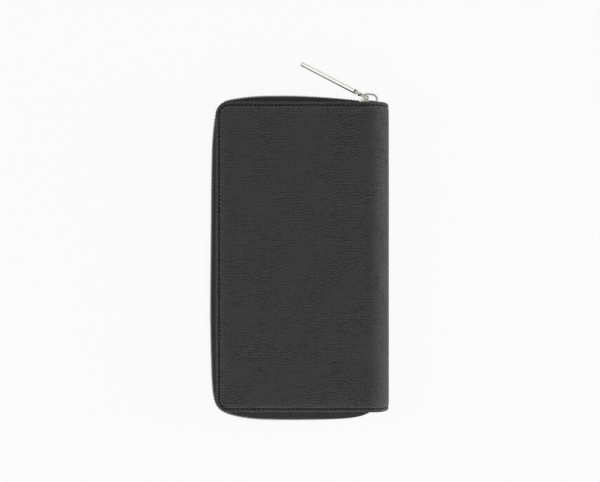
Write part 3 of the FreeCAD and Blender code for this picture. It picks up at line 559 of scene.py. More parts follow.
def relief(s, y, d, side):
    """Slow unevenness of the padded leather and the larger creases of its grain."""
    out = np.zeros(len(s))
    k = smooth01(0.3, 3.2, d) * 0.9 + 0.1
    off = 40.0 * (side + 2)
    for i in range(len(s)):
        a, b = s[i], y[i]
        n1 = noise.noise(Vector((a / 17 + off, b / 21, 0.3)))
        n2 = noise.noise(Vector((a / 6.5 + off, b / 5.0, 4.1)))
        n3 = noise.noise(Vector((a / 3.2 + off, b / 1.7, 9.7)))
        out[i] = 0.05 * n1 + 0.026 * n2 + 0.030 * n3
    return out * k


INSET = 0.24
BAND = [5.3, 4.7, 4.1, 3.6, 3.2, 2.9, 2.65, 2.45, 2.25, 2.05, 1.85, 1.6, 1.3, 1.05, 0.86, 0.7, 0.56, 0.45, 0.36, 0.29, 0.25, 0.24]


def cover_skin(side):
    name = "front_cover_skin" if side > 0 else "back_cover_skin"
    d0 = 6.0
    r0 = CORNER - d0
    kk = 14
    th = [math.pi / 2 * k / kk for k in range(kk + 1)]
    cols = [d0 + r0 * (1 - math.cos(t)) for t in th]
    step = 0.66
    n = int((FLAT - cols[-1]) / step)
    cols += list(np.linspace(cols[-1], FLAT, n + 1)[1:])
    cols += list(np.linspace(FLAT, SMAX, 34)[1:])
    cols = np.array(cols)
    nr = int(2 * (HL - d0) / step) | 1
    tt_ = np.linspace(-1, 1, nr)
    hl_in = np.where(cols < d0 + r0, HL - d0 - r0 + np.sqrt(np.clip(r0 ** 2 - (d0 + r0 - cols) ** 2, 0, None)), HL - d0)
    S = np.repeat(cols, nr)
    Y = (hl_in[:, None] * tt_[None, :]).ravel()
    nc = len(cols)
    faces = grid_faces(nc, nr, 0, flip=side < 0).tolist()
    # boundary course: top row from the fold line to the fore-edge, down the first column, bottom row back
    top = [(i * nr + nr - 1) for i in range(nc - 1, -1, -1)]
    left = [j for j in range(nr - 2, 0, -1)]
    bottom = [i * nr for i in range(nc)]
    course = top + left + bottom
    nrm = []
    for q, idx in enumerate(course):
        i = idx // nr
        if q < len(top) and i > kk:
            nrm.append((0, 1))
        elif q < len(top):
            nrm.append((-math.cos(th[i]), math.sin(th[i])))
        elif q < len(top) + len(left):
            nrm.append((-1, 0))
        elif i <= kk:
            nrm.append((-math.cos(th[i]), -math.sin(th[i])))
        else:
            nrm.append((0, -1))
    nrm = np.array(nrm, float)
    bs, by = S[course], Y[course]
    ring_ids = [np.array(course)]
    vs, ys, hs, ds = [S], [Y], [None], []
    count = len(S)
    m = len(course)
    for d in BAND:
        ss_ = bs + nrm[:, 0] * (d0 - d)
        yy_ = by + nrm[:, 1] * (d0 - d)
        vs.append(ss_)
        ys.append(yy_)
        ring_ids.append(np.arange(count, count + m))
        count += m
    S_all, Y_all = np.concatenate(vs), np.concatenate(ys)
    d_all = edge_distance(S_all, Y_all)
    H = skin_height(S_all, Y_all, side) + relief(S_all, Y_all, d_all, side)
    # turned edge: down the painted edge, in under the leather
    under = [(0.24, -0.8), (0.26, -0.98), (0.36, -1.12), (0.55, -1.2), (1.3, -1.2), (2.9, -1.2)]
    es, ey, eh = [], [], []
    for d, hh in under:
        es.append(bs + nrm[:, 0] * (d0 - d))
        ey.append(by + nrm[:, 1] * (d0 - d))
        eh.append(np.full(m, hh))
        ring_ids.append(np.arange(count, count + m))
        count += m
    S_all = np.concatenate([S_all] + es)
    Y_all = np.concatenate([Y_all] + ey)
    H = np.concatenate([H] + eh)
    for a, b in zip(ring_ids[:-1], ring_ids[1:]):
        for q in range(m - 1):
            f = [a[q], b[q], b[q + 1], a[q + 1]]
            faces.append(f[::-1] if side > 0 else f)
    # inner face of the skin: long quads between the two ends, then the strip along the fore-edge
    last = ring_ids[-1]
    lt, lb = last[:len(top)], last[len(top) + len(left):][::-1]
    for q in range(len(top) - 1):
        f = [lt[q], lb[q], lb[q + 1], lt[q + 1]]
        faces.append(f if side < 0 else f[::-1])
    ng = list(last[len(top) - 1: len(top) + len(left) + 1])
    faces.append(ng if side > 0 else ng[::-1])
    # wall along the fold line
    fold = [int(rr[0]) for rr in ring_ids][::-1] + [(nc - 1) * nr + j for j in range(nr - 2, 0, -1)] + [int(rr[-1]) for rr in ring_ids]
    faces.append(fold if side > 0 else fold[::-1])
    P = place(S_all, Y_all, H, side)
    uv = np.stack([S_all / 100 + (0 if side > 0 else 3.17), Y_all / 100 + (0 if side > 0 else 1.31)], -1)
    ob = make_mesh(name, P, faces, uv, attrs={"edge_mm": np.concatenate([d_all, np.zeros(len(S_all) - len(d_all))]), "roll_mm": S_all - FLAT})
    recalc(ob)
    dress(ob, M_COVER)
    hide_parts("front_cover_leather" if side > 0 else "back_cover_leather")
    return ob


def fold_blend(ob, side):
    """Bakes the object's transform into its mesh; both sides are treated alike and nothing bends."""
    if side > 0:
        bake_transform(ob)
    else:
        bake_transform(ob)


def outline_course(inset, s_end, step):
    """Evenly spaced (s, y, tangent) along the stitched sides, inset from the outline."""
    r = CORNER - inset
    run = s_end - (inset + r)
    side_run = 2 * (HL - inset - r)
    quarter = math.pi * r / 2
    total = 2 * run + 2 * quarter + side_run
    n = int(round(total / step))
    out = []
    for k in range(n):
        w = (k + 0.5) * total / n
        if w < run:
            out.append((s_end - w, HL - inset, -1, 0))
        elif w < run + quarter:
            a = (w - run) / r
            out.append((inset + r - r * math.sin(a), HL - inset - r + r * math.cos(a), -math.cos(a), -math.sin(a)))
        elif w < run + quarter + side_run:
            out.append((inset, HL - inset - r - (w - run - quarter), 0, -1))
        elif w < run + 2 * quarter + side_run:
            a = (w - run - quarter - side_run) / r
            out.append((inset + r - r * math.cos(a), -(HL - inset - r) - r * math.sin(a), math.sin(a), -math.cos(a)))
        else:
            out.append((inset + r + (w - run - 2 * quarter - side_run), -(HL - inset), 1, 0))
    return out, total


rng = np.random.default_rng(11)


def stitch_shape(length, width, height, rings=7, segs=8):
    """One stitch in its own frame: x along, y across, z up; its ends dive into the leather."""
    verts = []
    for i in range(rings):
        t = -1 + 2 * i / (rings - 1)
        rad = max(0.18, math.sqrt(max(0, 1 - abs(t) ** 3.2)))
        for m in range(segs):
            w = 2 * math.pi * m / segs
            verts.append((t * length / 2, math.cos(w) * rad * width / 2, math.sin(w) * rad * height / 2 - 0.22 * t * t))
    faces = grid_faces(rings, segs, 0, False, True).tolist()
    faces.append(list(range(segs)))
    faces.append([(rings - 1) * segs + m for m in range(segs)][::-1])
    return np.array(verts), faces


def cover_stitches(side):
    course, total = outline_course(STITCH_D, SMAX - 2.2, 2.55)
    sv, sf = stitch_shape(1.8, 1.0, 0.5)
    parts = []
    for s, y, ts, ty in course:
        a = math.atan2(ty, ts) + math.radians(7) * side + rng.normal(0, 0.025)
        ca, sa = math.cos(a), math.sin(a)
        k = 1 + rng.normal(0, 0.03)
        ls, ly = sv[:, 0] * ca * k - sv[:, 1] * sa, sv[:, 0] * sa * k + sv[:, 1] * ca
        P = place(s + ls, y + ly, sv[:, 2] - 0.27 - (0.1 if side < 0 else 0) + rng.normal(0, 0.01), side)
        uv = np.stack([sv[:, 0] / 100 + s / 7, sv[:, 1] / 100 + sv[:, 2] / 100], -1)
        parts.append((P, sf, uv))
    v, f, u = merge(parts)
    ob = make_mesh("front_cover_stitching" if side > 0 else "back_cover_stitching", v, f, u)
    recalc(ob)
    dress(ob, M_THREAD)
    return ob


# ------------------------------------------------------------------ course of the zip
RT, TX, CREST = 445.0, -12.0, 97.8
TY = CREST - RT


def top_y(x):
    return TY + math.sqrt(RT * RT - (x - TX) ** 2)


OUT = [(x, top_y(x)) for x in (47.0, 43.0, 39.0, 34.0, 28.0, 22.0, 15.0, 8.0, 1.0, -6.0, -13.0, -20.0, -26.0)]
OUT += [(-32.0, 97.15), (-37.5, 96.45), (-42.2, 95.75), (-46.0, 94.75), (-48.9, 93.0), (-51.0, 90.5),
        (-52.3, 87.2), (-53.2, 82.0), (-54.0, 75.0), (-54.6, 66.0), (-54.9, 54.0), (-55.1, 40.0),
        (-55.25, 22.0), (-55.45, 2.0), (-55.65, -18.0), (-55.7, -36.0), (-55.45, -52.0), (-55.1, -66.0),
        (-54.6, -76.5), (-53.9, -83.5), (-52.75, -88.3), (-50.9, -91.4), (-48.2, -93.7), (-44.8, -95.3),
        (-40.5, -96.5), (-35.0, -97.6), (-28.0, -98.4), (-18.0, -98.8), (-6.0, -98.95), (6.0, -98.95),
        (18.0, -98.8), (26.0, -98.45), (32.0, -97.8), (37.0, -96.7), (41.0, -95.0), (44.0, -93.0)]


def catmull(points, per=24):
    p = np.array(points, float)
    p = np.vstack([2 * p[0] - p[1], p, 2 * p[-1] - p[-2]])
    out = []
    for i in range(1, len(p) - 2):
        p0, p1, p2, p3 = p[i - 1], p[i], p[i + 1], p[i + 2]
        d1, d2, d3 = (np.linalg.norm(b - a) ** 0.5 for a, b in ((p0, p1), (p1, p2), (p2, p3)))
        m1 = (p2 - p1) + d2 * ((p1 - p0) / d1 - (p2 - p0) / (d1 + d2))
        m2 = (p2 - p1) + d2 * ((p3 - p2) / d3 - (p3 - p1) / (d2 + d3))
        for k in range(per):
            t = k / per
            out.append((2 * t ** 3 - 3 * t ** 2 + 1) * p1 + (t ** 3 - 2 * t ** 2 + t) * m1
                       + (-2 * t ** 3 + 3 * t ** 2) * p2 + (t ** 3 - t ** 2) * m2)
    out.append(p[-2])
    return np.array(out)


ZC = catmull(OUT)
seg = np.linalg.norm(np.diff(ZC, axis=0), axis=1)
ZS = np.concatenate([[0], np.cumsum(seg)])
ZLEN = ZS[-1]


def zip_at(s):
    """Point, outward normal and tangent of the zip's outline at length s."""
    s = np.clip(np.atleast_1d(np.asarray(s, float)), 0, ZLEN)
    p = np.stack([np.interp(s, ZS, ZC[:, 0]), np.interp(s, ZS, ZC[:, 1])], -1)
    e = 0.4
    a = np.stack([np.interp(s - e, ZS, ZC[:, 0]), np.interp(s - e, ZS, ZC[:, 1])], -1)
    b = np.stack([np.interp(s + e, ZS, ZC[:, 0]), np.interp(s + e, ZS, ZC[:, 1])], -1)
    lo, hi = s < e, s > ZLEN - e
    a[lo], b[hi] = p[lo], p[hi]
    t = b - a
    t /= np.linalg.norm(t, axis=1)[:, None]
    n = np.stack([t[:, 1], -t[:, 0]], -1)
    n *= np.sign(np.sum(n * p, 1))[:, None]
    return p, n, t


FACE, TAPE_T = 0.85, 0.6


def sewn_point(w, inset):
    """Where the tape goes under the cover, at share w of the course (0 at the zip's start)."""
    r = CORNER - inset
    x_end = XC + 3.0
    run = x_end - (-HW + inset + r)
    quarter = math.pi * r / 2
    side_run = 2 * (HL - inset - r)
    full = 2 * run + 2 * quarter + side_run
    w = w * full
    if w <= run:
        return x_end - w, HL - inset
    if w <= run + quarter:
        a = (w - run) / r
        return -HW + inset + r - r * math.sin(a), HL - inset - r + r * math.cos(a)
    if w <= run + quarter + side_run:
        return -HW + inset, HL - inset - r - (w - run - quarter)
    if w <= run + 2 * quarter + side_run:
        a = (w - run - quarter - side_run) / r
        return -HW + inset + r - r * math.cos(a), -(HL - inset - r) - r * math.sin(a)
    return -HW + inset + r + (w - run - 2 * quarter - side_run), -(HL - inset)


def zip_tape(side):
    ns = 420
    s = np.linspace(0.5, ZLEN - 0.3, ns)
    p, n, t = zip_at(s)
    bow = p - n * FACE
    w = (s - s[0]) / (s[-1] - s[0])
    sewn = np.array([sewn_point(x, 1.5) for x in w])
    # share of the way out, and height over the middle plane, down the tape from cover to beaded edge
    g = np.array([0.0, 0.03, 0.14, 0.28, 0.42, 0.56, 0.70, 0.82, 0.91, 0.965, 0.99, 1.0, 1.0, 1.0, 1.0, 1.0])
    z = np.array([10.7, 10.6, 10.2, 9.4, 8.65, 8.2, 7.95, 7.7, 7.2, 6.45, 5.5, 4.3, 3.4, 2.6, 1.75, 1.0])
    roll = np.clip(np.abs(sewn[:, 0]) * 0 + sewn[:, 0] - XC, 0, None)
    z_top = np.minimum(10.7, np.sqrt(np.clip(10.6 ** 2 - roll ** 2, 1, None)))
    rows_o, rows_i, uv = [], [], []
    corner = np.exp(-((bow[:, 0] + 50.5) / 5.0) ** 2) * np.exp(-((np.abs(bow[:, 1]) - 91.5) / 5.0) ** 2)
    for k in range(ns):
        zz = z * (z_top[k] / 10.7)
        zz = np.where(z <= 4.3, z, 4.3 + (zz - 4.3 * z_top[k] / 10.7) * (z_top[k] - 4.3) / (z_top[k] - 4.3 * z_top[k] / 10.7))
        pr = sewn[k][None] * (1 - g[:, None]) + bow[k][None] * g[:, None]
        # soft waves of the cloth, puckers where it goes round a corner
        fall = np.sin(np.pi * np.clip((10.7 - z) / 9.7, 0, 1)) ** 1.2
        wob = 0.10 * noise.noise(Vector((s[k] / 9.0, 3.1 + side, 0))) + 0.05 * noise.noise(Vector((s[k] / 3.1, 7.7 + side, 0)))
        wob += corner[k] * 0.20 * math.sin(s[k] * 2.6 + side)
        pr = pr + n[k][None] * (wob * fall)[:, None]
        thick = TAPE_T + 0.28 * np.exp(-((z - 1.35) / 0.5) ** 2)
        o = np.column_stack([pr, MID + side * zz])
        i_ = np.column_stack([pr - n[k][None] * thick[:, None], MID + side * zz])
        rows_o.append(o)
        rows_i.append(i_)
    npf = len(g)
    O, I = np.array(rows_o), np.array(rows_i)
    verts = np.concatenate([O, I[:, ::-1]], axis=1)      # one loop round each section
    nv = 2 * npf
    prof = np.concatenate([[0], np.cumsum(np.linalg.norm(np.diff(O[ns // 2], axis=0), axis=1))])
    pv = np.concatenate([prof, prof[::-1] + 0.0])
    faces = grid_faces(ns, nv, 0, False, True).tolist()
    faces.append(list(range(nv)))
    faces.append([(ns - 1) * nv + j for j in range(nv)][::-1])
    uvs = np.stack([np.repeat(s / 100, nv), np.tile(pv / 100, ns)], -1)
    ob = make_mesh("front_zip_tape_cloth" if side > 0 else "back_zip_tape_cloth", verts.reshape(-1, 3), faces, uvs)
    recalc(ob)
    dress(ob, M_TAPE)
    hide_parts("front_zip_tape" if side > 0 else "back_zip_tape")
    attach(ob, "front" if side > 0 else "back")
    return ob


def tooth_shape():
    """One tooth: a along the tape, n through it, w from the tape's edge to the other row."""
    levels = [(-1.45, 0.30, 0.62), (-1.35, 0.44, 0.88), (-1.0, 0.49, 1.0), (-0.2, 0.50, 1.02), (0.5, 0.49, 0.98),
              (0.75, 0.38, 0.80), (1.0, 0.46, 0.88), (1.35, 0.44, 0.82), (1.5, 0.28, 0.60)]
    segs = 10
    verts = []
    for w, ha, hn in levels:
        for m in range(segs):
            q = 2 * math.pi * (m + 0.5) / segs
            c, s_ = math.cos(q), math.sin(q)
            verts.append((math.copysign(abs(c) ** 0.55, c) * ha, math.copysign(abs(s_) ** 0.55, s_) * hn, w))
    faces = grid_faces(len(levels), segs, 0, False, True).tolist()
    faces.append(list(range(segs)))
    faces.append([(len(levels) - 1) * segs + m for m in range(segs)][::-1])
    return np.array(verts), faces


def zip_teeth(side):
    tv, tf = tooth_shape()
    pitch = 2.15
    s = np.arange(3.2 + (0 if side < 0 else pitch / 2) , ZLEN - 2.6, pitch)
    p, n, t = zip_at(s)
    parts = []
    for k in range(len(s)):
        if p[k][0] > 34.4 and p[k][1] > 0:
            continue
        near_end = max(0.0, 1 - min(s[k], ZLEN - s[k]) / 50.0)
        c = p[k] - n[k] * (FACE + TAPE_T / 2 - (0.42 - 0.34 * near_end if side > 0 else 0.04) + 0.4 * near_end)
        jit = rng.normal(0, 0.012, 2)
        xy = c[None] + t[k][None] * (tv[:, :1] + jit[0]) + n[k][None] * (tv[:, 1:2] + jit[1])
        zz = MID + side * (1.0 - tv[:, 2:3])
        parts.append((np.hstack([xy, zz]), tf, tv[:, :2] / 100))
    v, f, u = merge(parts)
    ob = make_mesh("front_zip_teeth_row" if side > 0 else "back_zip_teeth_row", v, f, u, sharp_angle=50)
    recalc(ob)
    dress(ob, M_TEETH)
    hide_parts("front_zip_teeth" if side > 0 else "back_zip_teeth")
    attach(ob, "front" if side > 0 else "back")
    return ob


# ------------------------------------------------------------------ build: covers and zip
for side in (1, -1):
    sk = cover_skin(side)
    fold_blend(sk, side)
    st = cover_stitches(side)
    fold_blend(st, side)
    zip_tape(side)
    zip_teeth(side)

# ------------------------------------------------------------------ frames of the moving hardware
def frame_of(origin, yaw, droop=0.0):
    c, sn = math.cos(math.radians(yaw)), math.sin(math.radians(yaw))
    cp, sp = math.cos(math.radians(droop)), math.sin(math.radians(droop))
    rz = np.array([[c, -sn, 0], [sn, c, 0], [0, 0, 1.0]])
    ry = np.array([[cp, 0, sp], [0, 1, 0], [-sp, 0, cp]])
    m = np.eye(4)
    m[:3, :3] = rz @ ry
    m[:3, 3] = origin
    return m


F_SLIDER = frame_of((40.1296, 93.2760, MID), -6.74946)
F_LINK = frame_of((41.69677, 95.45693, MID), 152.9)
F_PIN = frame_of((32.88366, 99.96682, MID), 152.9)
F_BAR = frame_of((32.88366, 99.96682, MID), 152.45, 16.1)


def chaikin(pts, rounds=2):
    p = np.array(pts, float)
    for _ in range(rounds):
        q = np.roll(p, -1, 0)
        p = np.stack([0.75 * p + 0.25 * q, 0.25 * p + 0.75 * q], 1).reshape(-1, 2)
    return p


def plate(loops, lo, hi, order="xyz"):
    """A flat piece cut from 2D loops (the first is its outline, the rest holes), lo to hi thick.
    order says where u, v and the thickness go, as in "xzy": u to X, v to Z, thickness to Y."""
    bm = bmesh.new()
    edges = []
    for lp in loops:
        vs = [bm.verts.new((u, v, lo)) for u, v in lp]
        edges += [bm.edges.new((vs[i], vs[(i + 1) % len(vs)])) for i in range(len(vs))]
    bmesh.ops.triangle_fill(bm, use_beauty=True, use_dissolve=True, edges=edges)
    got = bmesh.ops.extrude_face_region(bm, geom=bm.faces[:])
    up = [g for g in got["geom"] if isinstance(g, bmesh.types.BMVert)]
    for v in up:
        v.co.z = hi
    bmesh.ops.recalc_face_normals(bm, faces=bm.faces)
    verts = np.array([v.co[:] for v in bm.verts])
    bm.verts.index_update()
    faces = [[v.index for v in f.verts] for f in bm.faces]
    bm.free()
    ix = {"xyz": (0, 1, 2), "xzy": (0, 2, 1), "yzx": (2, 0, 1)}[order]
    out = np.stack([verts[:, ix[0]], verts[:, ix[1]], verts[:, ix[2]]], 1)
    return out, faces


def rounded_rect(x0, x1, y0, y1, r, n=5):
    pts = []
    for cx, cy, a0 in ((x1 - r, y1 - r, 0), (x0 + r, y1 - r, 90), (x0 + r, y0 + r, 180), (x1 - r, y0 + r, 270)):
        for k in range(n + 1):
            a = math.radians(a0 + 90 * k / n)
            pts.append((cx + r * math.cos(a), cy + r * math.sin(a)))
    return pts


def piece(name, parts, mat, body, replaces=(), frame_m=None, bevel=None, segs=3, angle=35, sharp=None):
    v, f, u = merge(parts)
    if frame_m is not None:
        v = transform(v, frame_m)
    ob = make_mesh(name, v, f, u)
    recalc(ob)
    dress(ob, mat)
    if bevel:
        finish_mods(ob, bevel=bevel, segs=segs, angle=angle)
    if sharp:
        ob.data.set_sharp_from_angle(angle=math.radians(sharp))
    if replaces:
        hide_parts(*replaces)
    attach(ob, body)
    return ob


# ------------------------------------------------------------------ slider, bail, eye link, pin and bar
slider_half = [(-5.0, 0.9), (-5.0, 2.0), (-4.4, 2.9), (-2.6, 3.25), (0.0, 3.45), (2.4, 3.75), (4.6, 3.95), (5.9, 3.5), (5.9, 1.2)]
slider_outline = chaikin(slider_half + [(x, -z) for x, z in slider_half[::-1]], 2)
slider_parts = []
for sgn in (1, -1):
    y0, y1 = sorted((sgn * 1.25, sgn * 2.05))
    slider_parts.append(plate([slider_outline], y0, y1, "xzy"))
    for zs in (1, -1):
        rim_in = [(-4.0, zs * 2.5), (-2.4, zs * 2.75), (0.0, zs * 2.9), (2.2, zs * 3.15), (3.7, zs * 3.3)]
        rim_out = [(3.9, zs * 3.86), (2.2, zs * 3.68), (0.0, zs * 3.4), (-2.6, zs * 3.2), (-4.2, zs * 2.9)]
        y0, y1 = sorted((sgn * 1.3, sgn * 0.58))
        slider_parts.append(plate([rim_in + rim_out], y0, y1, "xzy"))
pv, pf, pu = lathe([(-1.35, 0.02), (-1.35, 0.62), (-1.1, 0.56), (1.1, 0.56), (1.35, 0.62), (1.35, 0.02)], 20)
slider_parts.append((np.stack([3.1 + pv[:, 1], pv[:, 0], pv[:, 2]], 1), pf, pu))
piece("slider_casting", slider_parts, M_NICKEL, "slider", ["slider_body"], F_SLIDER, bevel=0.16, segs=3, angle=40)


def arc(cx, cy, r, a0, a1, n=10):
    return [(cx + r * math.cos(math.radians(a0 + (a1 - a0) * k / n)), cy + r * math.sin(math.radians(a0 + (a1 - a0) * k / n)))
            for k in range(n + 1)]


bail2 = [(-2.6, 1.85), (-2.6, 2.6), (-2.6, 3.4)] + arc(-1.4, 4.35, 1.2, 180, 90, 8) + [(-0.8, 5.55), (0.6, 5.55)]
bail2 += arc(2.0, 2.35, 3.2, 90, 0, 14) + [(5.2, 1.85)]
bv, bf, bu = tube([(x, y, 0) for x, y in bail2], 0.65, 20, up=(0, 0, 1))
feet = []
for fx in (-2.6, 5.2 - 0.1):
    lv, lf, lu = lathe([(1.95, 0.02), (1.95, 0.92), (2.05, 0.95), (2.2, 0.90), (2.38, 0.76), (2.5, 0.66), (2.5, 0.02)], 24)
    feet.append((np.stack([fx + lv[:, 1] * 0.86, lv[:, 0], lv[:, 2]], 1), lf, lu))
piece("slider_bail_strap", [(bv, bf, bu)] + feet, M_NICKEL_SHADED, "slider", ["slider_bail"], F_SLIDER, sharp=60)

u0, u1, hw, rc = 1.75, 6.2, 1.6, 1.3
eye2 = []
for cx, cz, a0 in ((u1 - rc, hw - rc, 0), (u0 + rc, hw - rc, 90), (u0 + rc, -hw + rc, 180), (u1 - rc, -hw + rc, 270)):
    eye2 += [(cx + rc * math.cos(math.radians(a0 + 90 * k / 8)), cz + rc * math.sin(math.radians(a0 + 90 * k / 8))) for k in range(9)]
ct, st_ = math.cos(math.radians(30)), math.sin(math.radians(30))
eye3 = [(x, -z * st_, z * ct) for x, z in eye2]
ev, ef, eu = tube(eye3, 0.5, 16, closed=True, up=(0, 1, 0))
collar = lathe([(5.85, 0.02), (5.85, 0.55), (5.95, 0.80), (6.15, 0.93), (6.6, 1.10), (7.0, 1.28), (7.12, 1.36), (7.22, 1.4),
                (8.25, 1.4), (8.36, 1.37), (8.44, 1.28), (8.45, 1.2), (8.45, 0.02)], 36)
tongue2 = [(8.2, 0.75), (9.3, 0.8)] + [(9.9 + 0.95 * math.cos(math.radians(a)), 0.95 * math.sin(math.radians(a))) for a in range(110, -111, -20)] + [(9.3, -0.8), (8.2, -0.75)]
link = piece("puller_eye_ring", [(ev, ef, eu)], M_NICKEL_SHADED, "puller_link", ["puller_eye_link"], F_LINK, sharp=50)
piece("puller_collar", [collar], M_NICKEL, "puller_link", (), F_LINK, sharp=50)
tongue = piece("puller_knuckle_tongue", [plate([tongue2], -0.5, 0.5, "xzy")], M_NICKEL, "puller_link", (), F_LINK, bevel=0.1)
pin = lathe([(-1.36, 0.02), (-1.36, 0.26), (-1.31, 0.36), (-1.22, 0.4), (1.22, 0.4), (1.31, 0.36), (1.36, 0.26), (1.36, 0.02)], 24)
piece("puller_knuckle_pin", [(np.stack([pin[0][:, 1], pin[0][:, 0], pin[0][:, 2]], 1), pin[1], pin[2])], M_NICKEL, "puller_link",
      ["puller_pin"], F_PIN, sharp=50)

# bar: flat on top, a low ridge each side, soft arrises; a black block of painted shade fills the groove all round its
# knuckle
half = [(1.4, 0.0), (1.4, 0.56), (1.33, 0.68), (0.62, 0.97), (0.5, 1.0)]
sec = half + [(-y, z) for y, z in half[::-1]] + [(-y, -z) for y, z in half[1:]] + [(y, -z) for y, z in half[:0:-1]]
bar_parts = []
stations = [(1.16, 0.80), (1.22, 0.96), (1.4, 1.0), (8.0, 1.0), (16.0, 1.0), (24.0, 1.0), (32.0, 1.0), (38.55, 1.0), (38.85, 0.96), (38.97, 0.86)]
bvv = np.array([[(x, y * k, z * k) for y, z in sec] for x, k in stations]).reshape(-1, 3)
bff = grid_faces(len(stations), len(sec), 0, False, True).tolist()
bff += [list(range(len(sec))), [(len(stations) - 1) * len(sec) + m for m in range(len(sec))][::-1]]
buv = np.stack([bvv[:, 0] / 100, bvv[:, 1] / 100], 1)
bar = piece("puller_bar_body", [(bvv, bff, buv)], M_NICKEL, "puller_bar", ["puller_bar"], F_BAR, bevel=0.05, segs=2, angle=18)
cheeks, groove = [], []
for y0 in (-1.4, 0.65):
    back_round = [(math.cos(math.radians(a)) * 1.0, math.sin(math.radians(a)) * 1.0) for a in range(100, 261, 16)]
    cheeks.append(plate([[(0.08, 0.60), (0.06, 0.97), (-0.1, 1.0)] + back_round + [(-0.1, -1.0), (0.06, -0.97), (0.08, -0.60)]], y0, y0 + 0.75, "xzy"))
    groove.append(plate([[(0.0, 0.62), (0.0, -0.62), (1.3, -0.62), (1.3, 0.62)]], y0 + 0.04, y0 + 0.71, "xzy"))
groove.append(plate([[(1.05, 0.70), (1.05, -0.70), (1.35, -0.70), (1.35, 0.70)]], -0.7, 0.7, "xzy"))
piece("puller_bar_knuckle", cheeks, M_NICKEL, "puller_bar", (), F_BAR, bevel=0.07, segs=2, angle=30)
piece("puller_bar_groove", groove, M_KNUCKLE_SHADE, "puller_bar", (), F_BAR, bevel=0.06, segs=2, angle=30)


# ------------------------------------------------------------------ stops at the zip's ends
def crimp(a, n_, w0, w1, ring=10):
    """A crimped metal stop: waisted, with rounded ends."""
    lv = [(w0, 0.55), (w0 + 0.08, 0.86), (w0 + 0.25, 1.0), ((w0 + w1) / 2 - 0.25, 1.0), ((w0 + w1) / 2, 0.84),
          ((w0 + w1) / 2 + 0.25, 1.0), (w1 - 0.25, 1.0), (w1 - 0.08, 0.86), (w1, 0.55)]
    verts = []
    for w, k in lv:
        for m in range(ring):
            q = 2 * math.pi * (m + 0.5) / ring
            c, s_ = math.cos(q), math.sin(q)
            verts.append((math.copysign(abs(c) ** 0.5, c) * a * k, math.copysign(abs(s_) ** 0.5, s_) * n_ * k, w))
    faces = grid_faces(len(lv), ring, 0, False, True).tolist()
    faces += [list(range(ring)), [(len(lv) - 1) * ring + m for m in range(ring)][::-1]]
    return np.array(verts), faces


for side in (1, -1):
    parts = []
    cv, cf = crimp(0.5, 1.0, 0.16, 0.98)
    for s_at in (1.1, ZLEN - 1.0):
        p, n, t = zip_at(s_at)
        c = p[0] - n[0] * (FACE + TAPE_T / 2)
        xy = c[None] + t[0][None] * cv[:, :1] + n[0][None] * cv[:, 1:2]
        parts.append((np.hstack([xy, MID + side * cv[:, 2:3]]), cf, cv[:, :2] / 100))
    piece("front_zip_end_stops" if side > 0 else "back_zip_end_stops", parts, M_TEETH, "front" if side > 0 else "back",
          ["front_zip_stops" if side > 0 else "back_zip_stops"], sharp=50)


# ------------------------------------------------------------------ thin flat pieces inside
def leaf(xs, ys, z_lo, z_hi, rings, height=None, wave=0.03, seed=0.0, uv0=(0, 0)):
    """A thin flat piece, its visible face at z_hi. rings are (growth out from the face's border, z) down the edge."""
    X, Y = np.meshgrid(xs, ys, indexing="ij")
    nx, ny = X.shape
    W = np.array([noise.noise(Vector((x / 26 + seed, y / 31, seed))) * wave for x, y in zip(X.ravel(), Y.ravel())]).reshape(X.shape)
    edge = np.minimum(np.minimum(X - xs[0], xs[-1] - X), np.minimum(Y - ys[0], ys[-1] - Y))
    W = W * smooth01(0, 6, edge)
    Z = z_hi + W + (height(X, Y) if height else 0)
    top = np.stack([X, Y, Z], -1).reshape(-1, 3)
    loop = [i * ny for i in range(nx)] + [(nx - 1) * ny + j for j in range(1, ny)]
    loop += [i * ny + ny - 1 for i in range(nx - 2, -1, -1)] + list(range(ny - 2, 0, -1))
    loop = np.array(loop)
    bx = np.where(loop // ny == 0, -1.0, np.where(loop // ny == nx - 1, 1.0, 0.0))
    by = np.where(loop % ny == 0, -1.0, np.where(loop % ny == ny - 1, 1.0, 0.0))
    k = np.where((bx != 0) & (by != 0), 0.72, 1.0)
    faces = grid_faces(nx, ny).tolist()
    verts, prev, count = [top], loop, nx * ny
    m = len(loop)
    for grow, z in rings:
        ring = np.stack([top[loop, 0] + bx * grow * k, top[loop, 1] + by * grow * k, np.full(m, z)], -1)
        verts.append(ring)
        ids = np.arange(count, count + m)
        faces += [[prev[i], ids[i], ids[(i + 1) % m], prev[(i + 1) % m]] for i in range(m)]
        prev, count = ids, count + m
    low = np.stack([X, Y, np.full(X.shape, z_lo) + W], -1).reshape(-1, 3)
    verts.append(low)
    lo_ids = loop + count
    faces += [[prev[i], lo_ids[i], lo_ids[(i + 1) % m], prev[(i + 1) % m]] for i in range(m)]
    faces += (grid_faces(nx, ny, count, flip=True)).tolist()
    v = np.concatenate(verts)
    uv = np.stack([v[:, 0] / 100 + uv0[0], v[:, 1] / 100 + uv0[1]], -1)
    return v, faces, uv


def edge_rings(z_lo, z_hi, r):
    """A rounded edge r out from the face's border."""
    t = z_hi - z_lo
    return [(r * 0.45, z_hi - t * 0.06), (r * 0.8, z_hi - t * 0.2), (r, z_hi - t * 0.42), (r, z_lo + t * 0.42),
            (r * 0.8, z_lo + t * 0.2), (r * 0.45, z_lo + t * 0.06)]


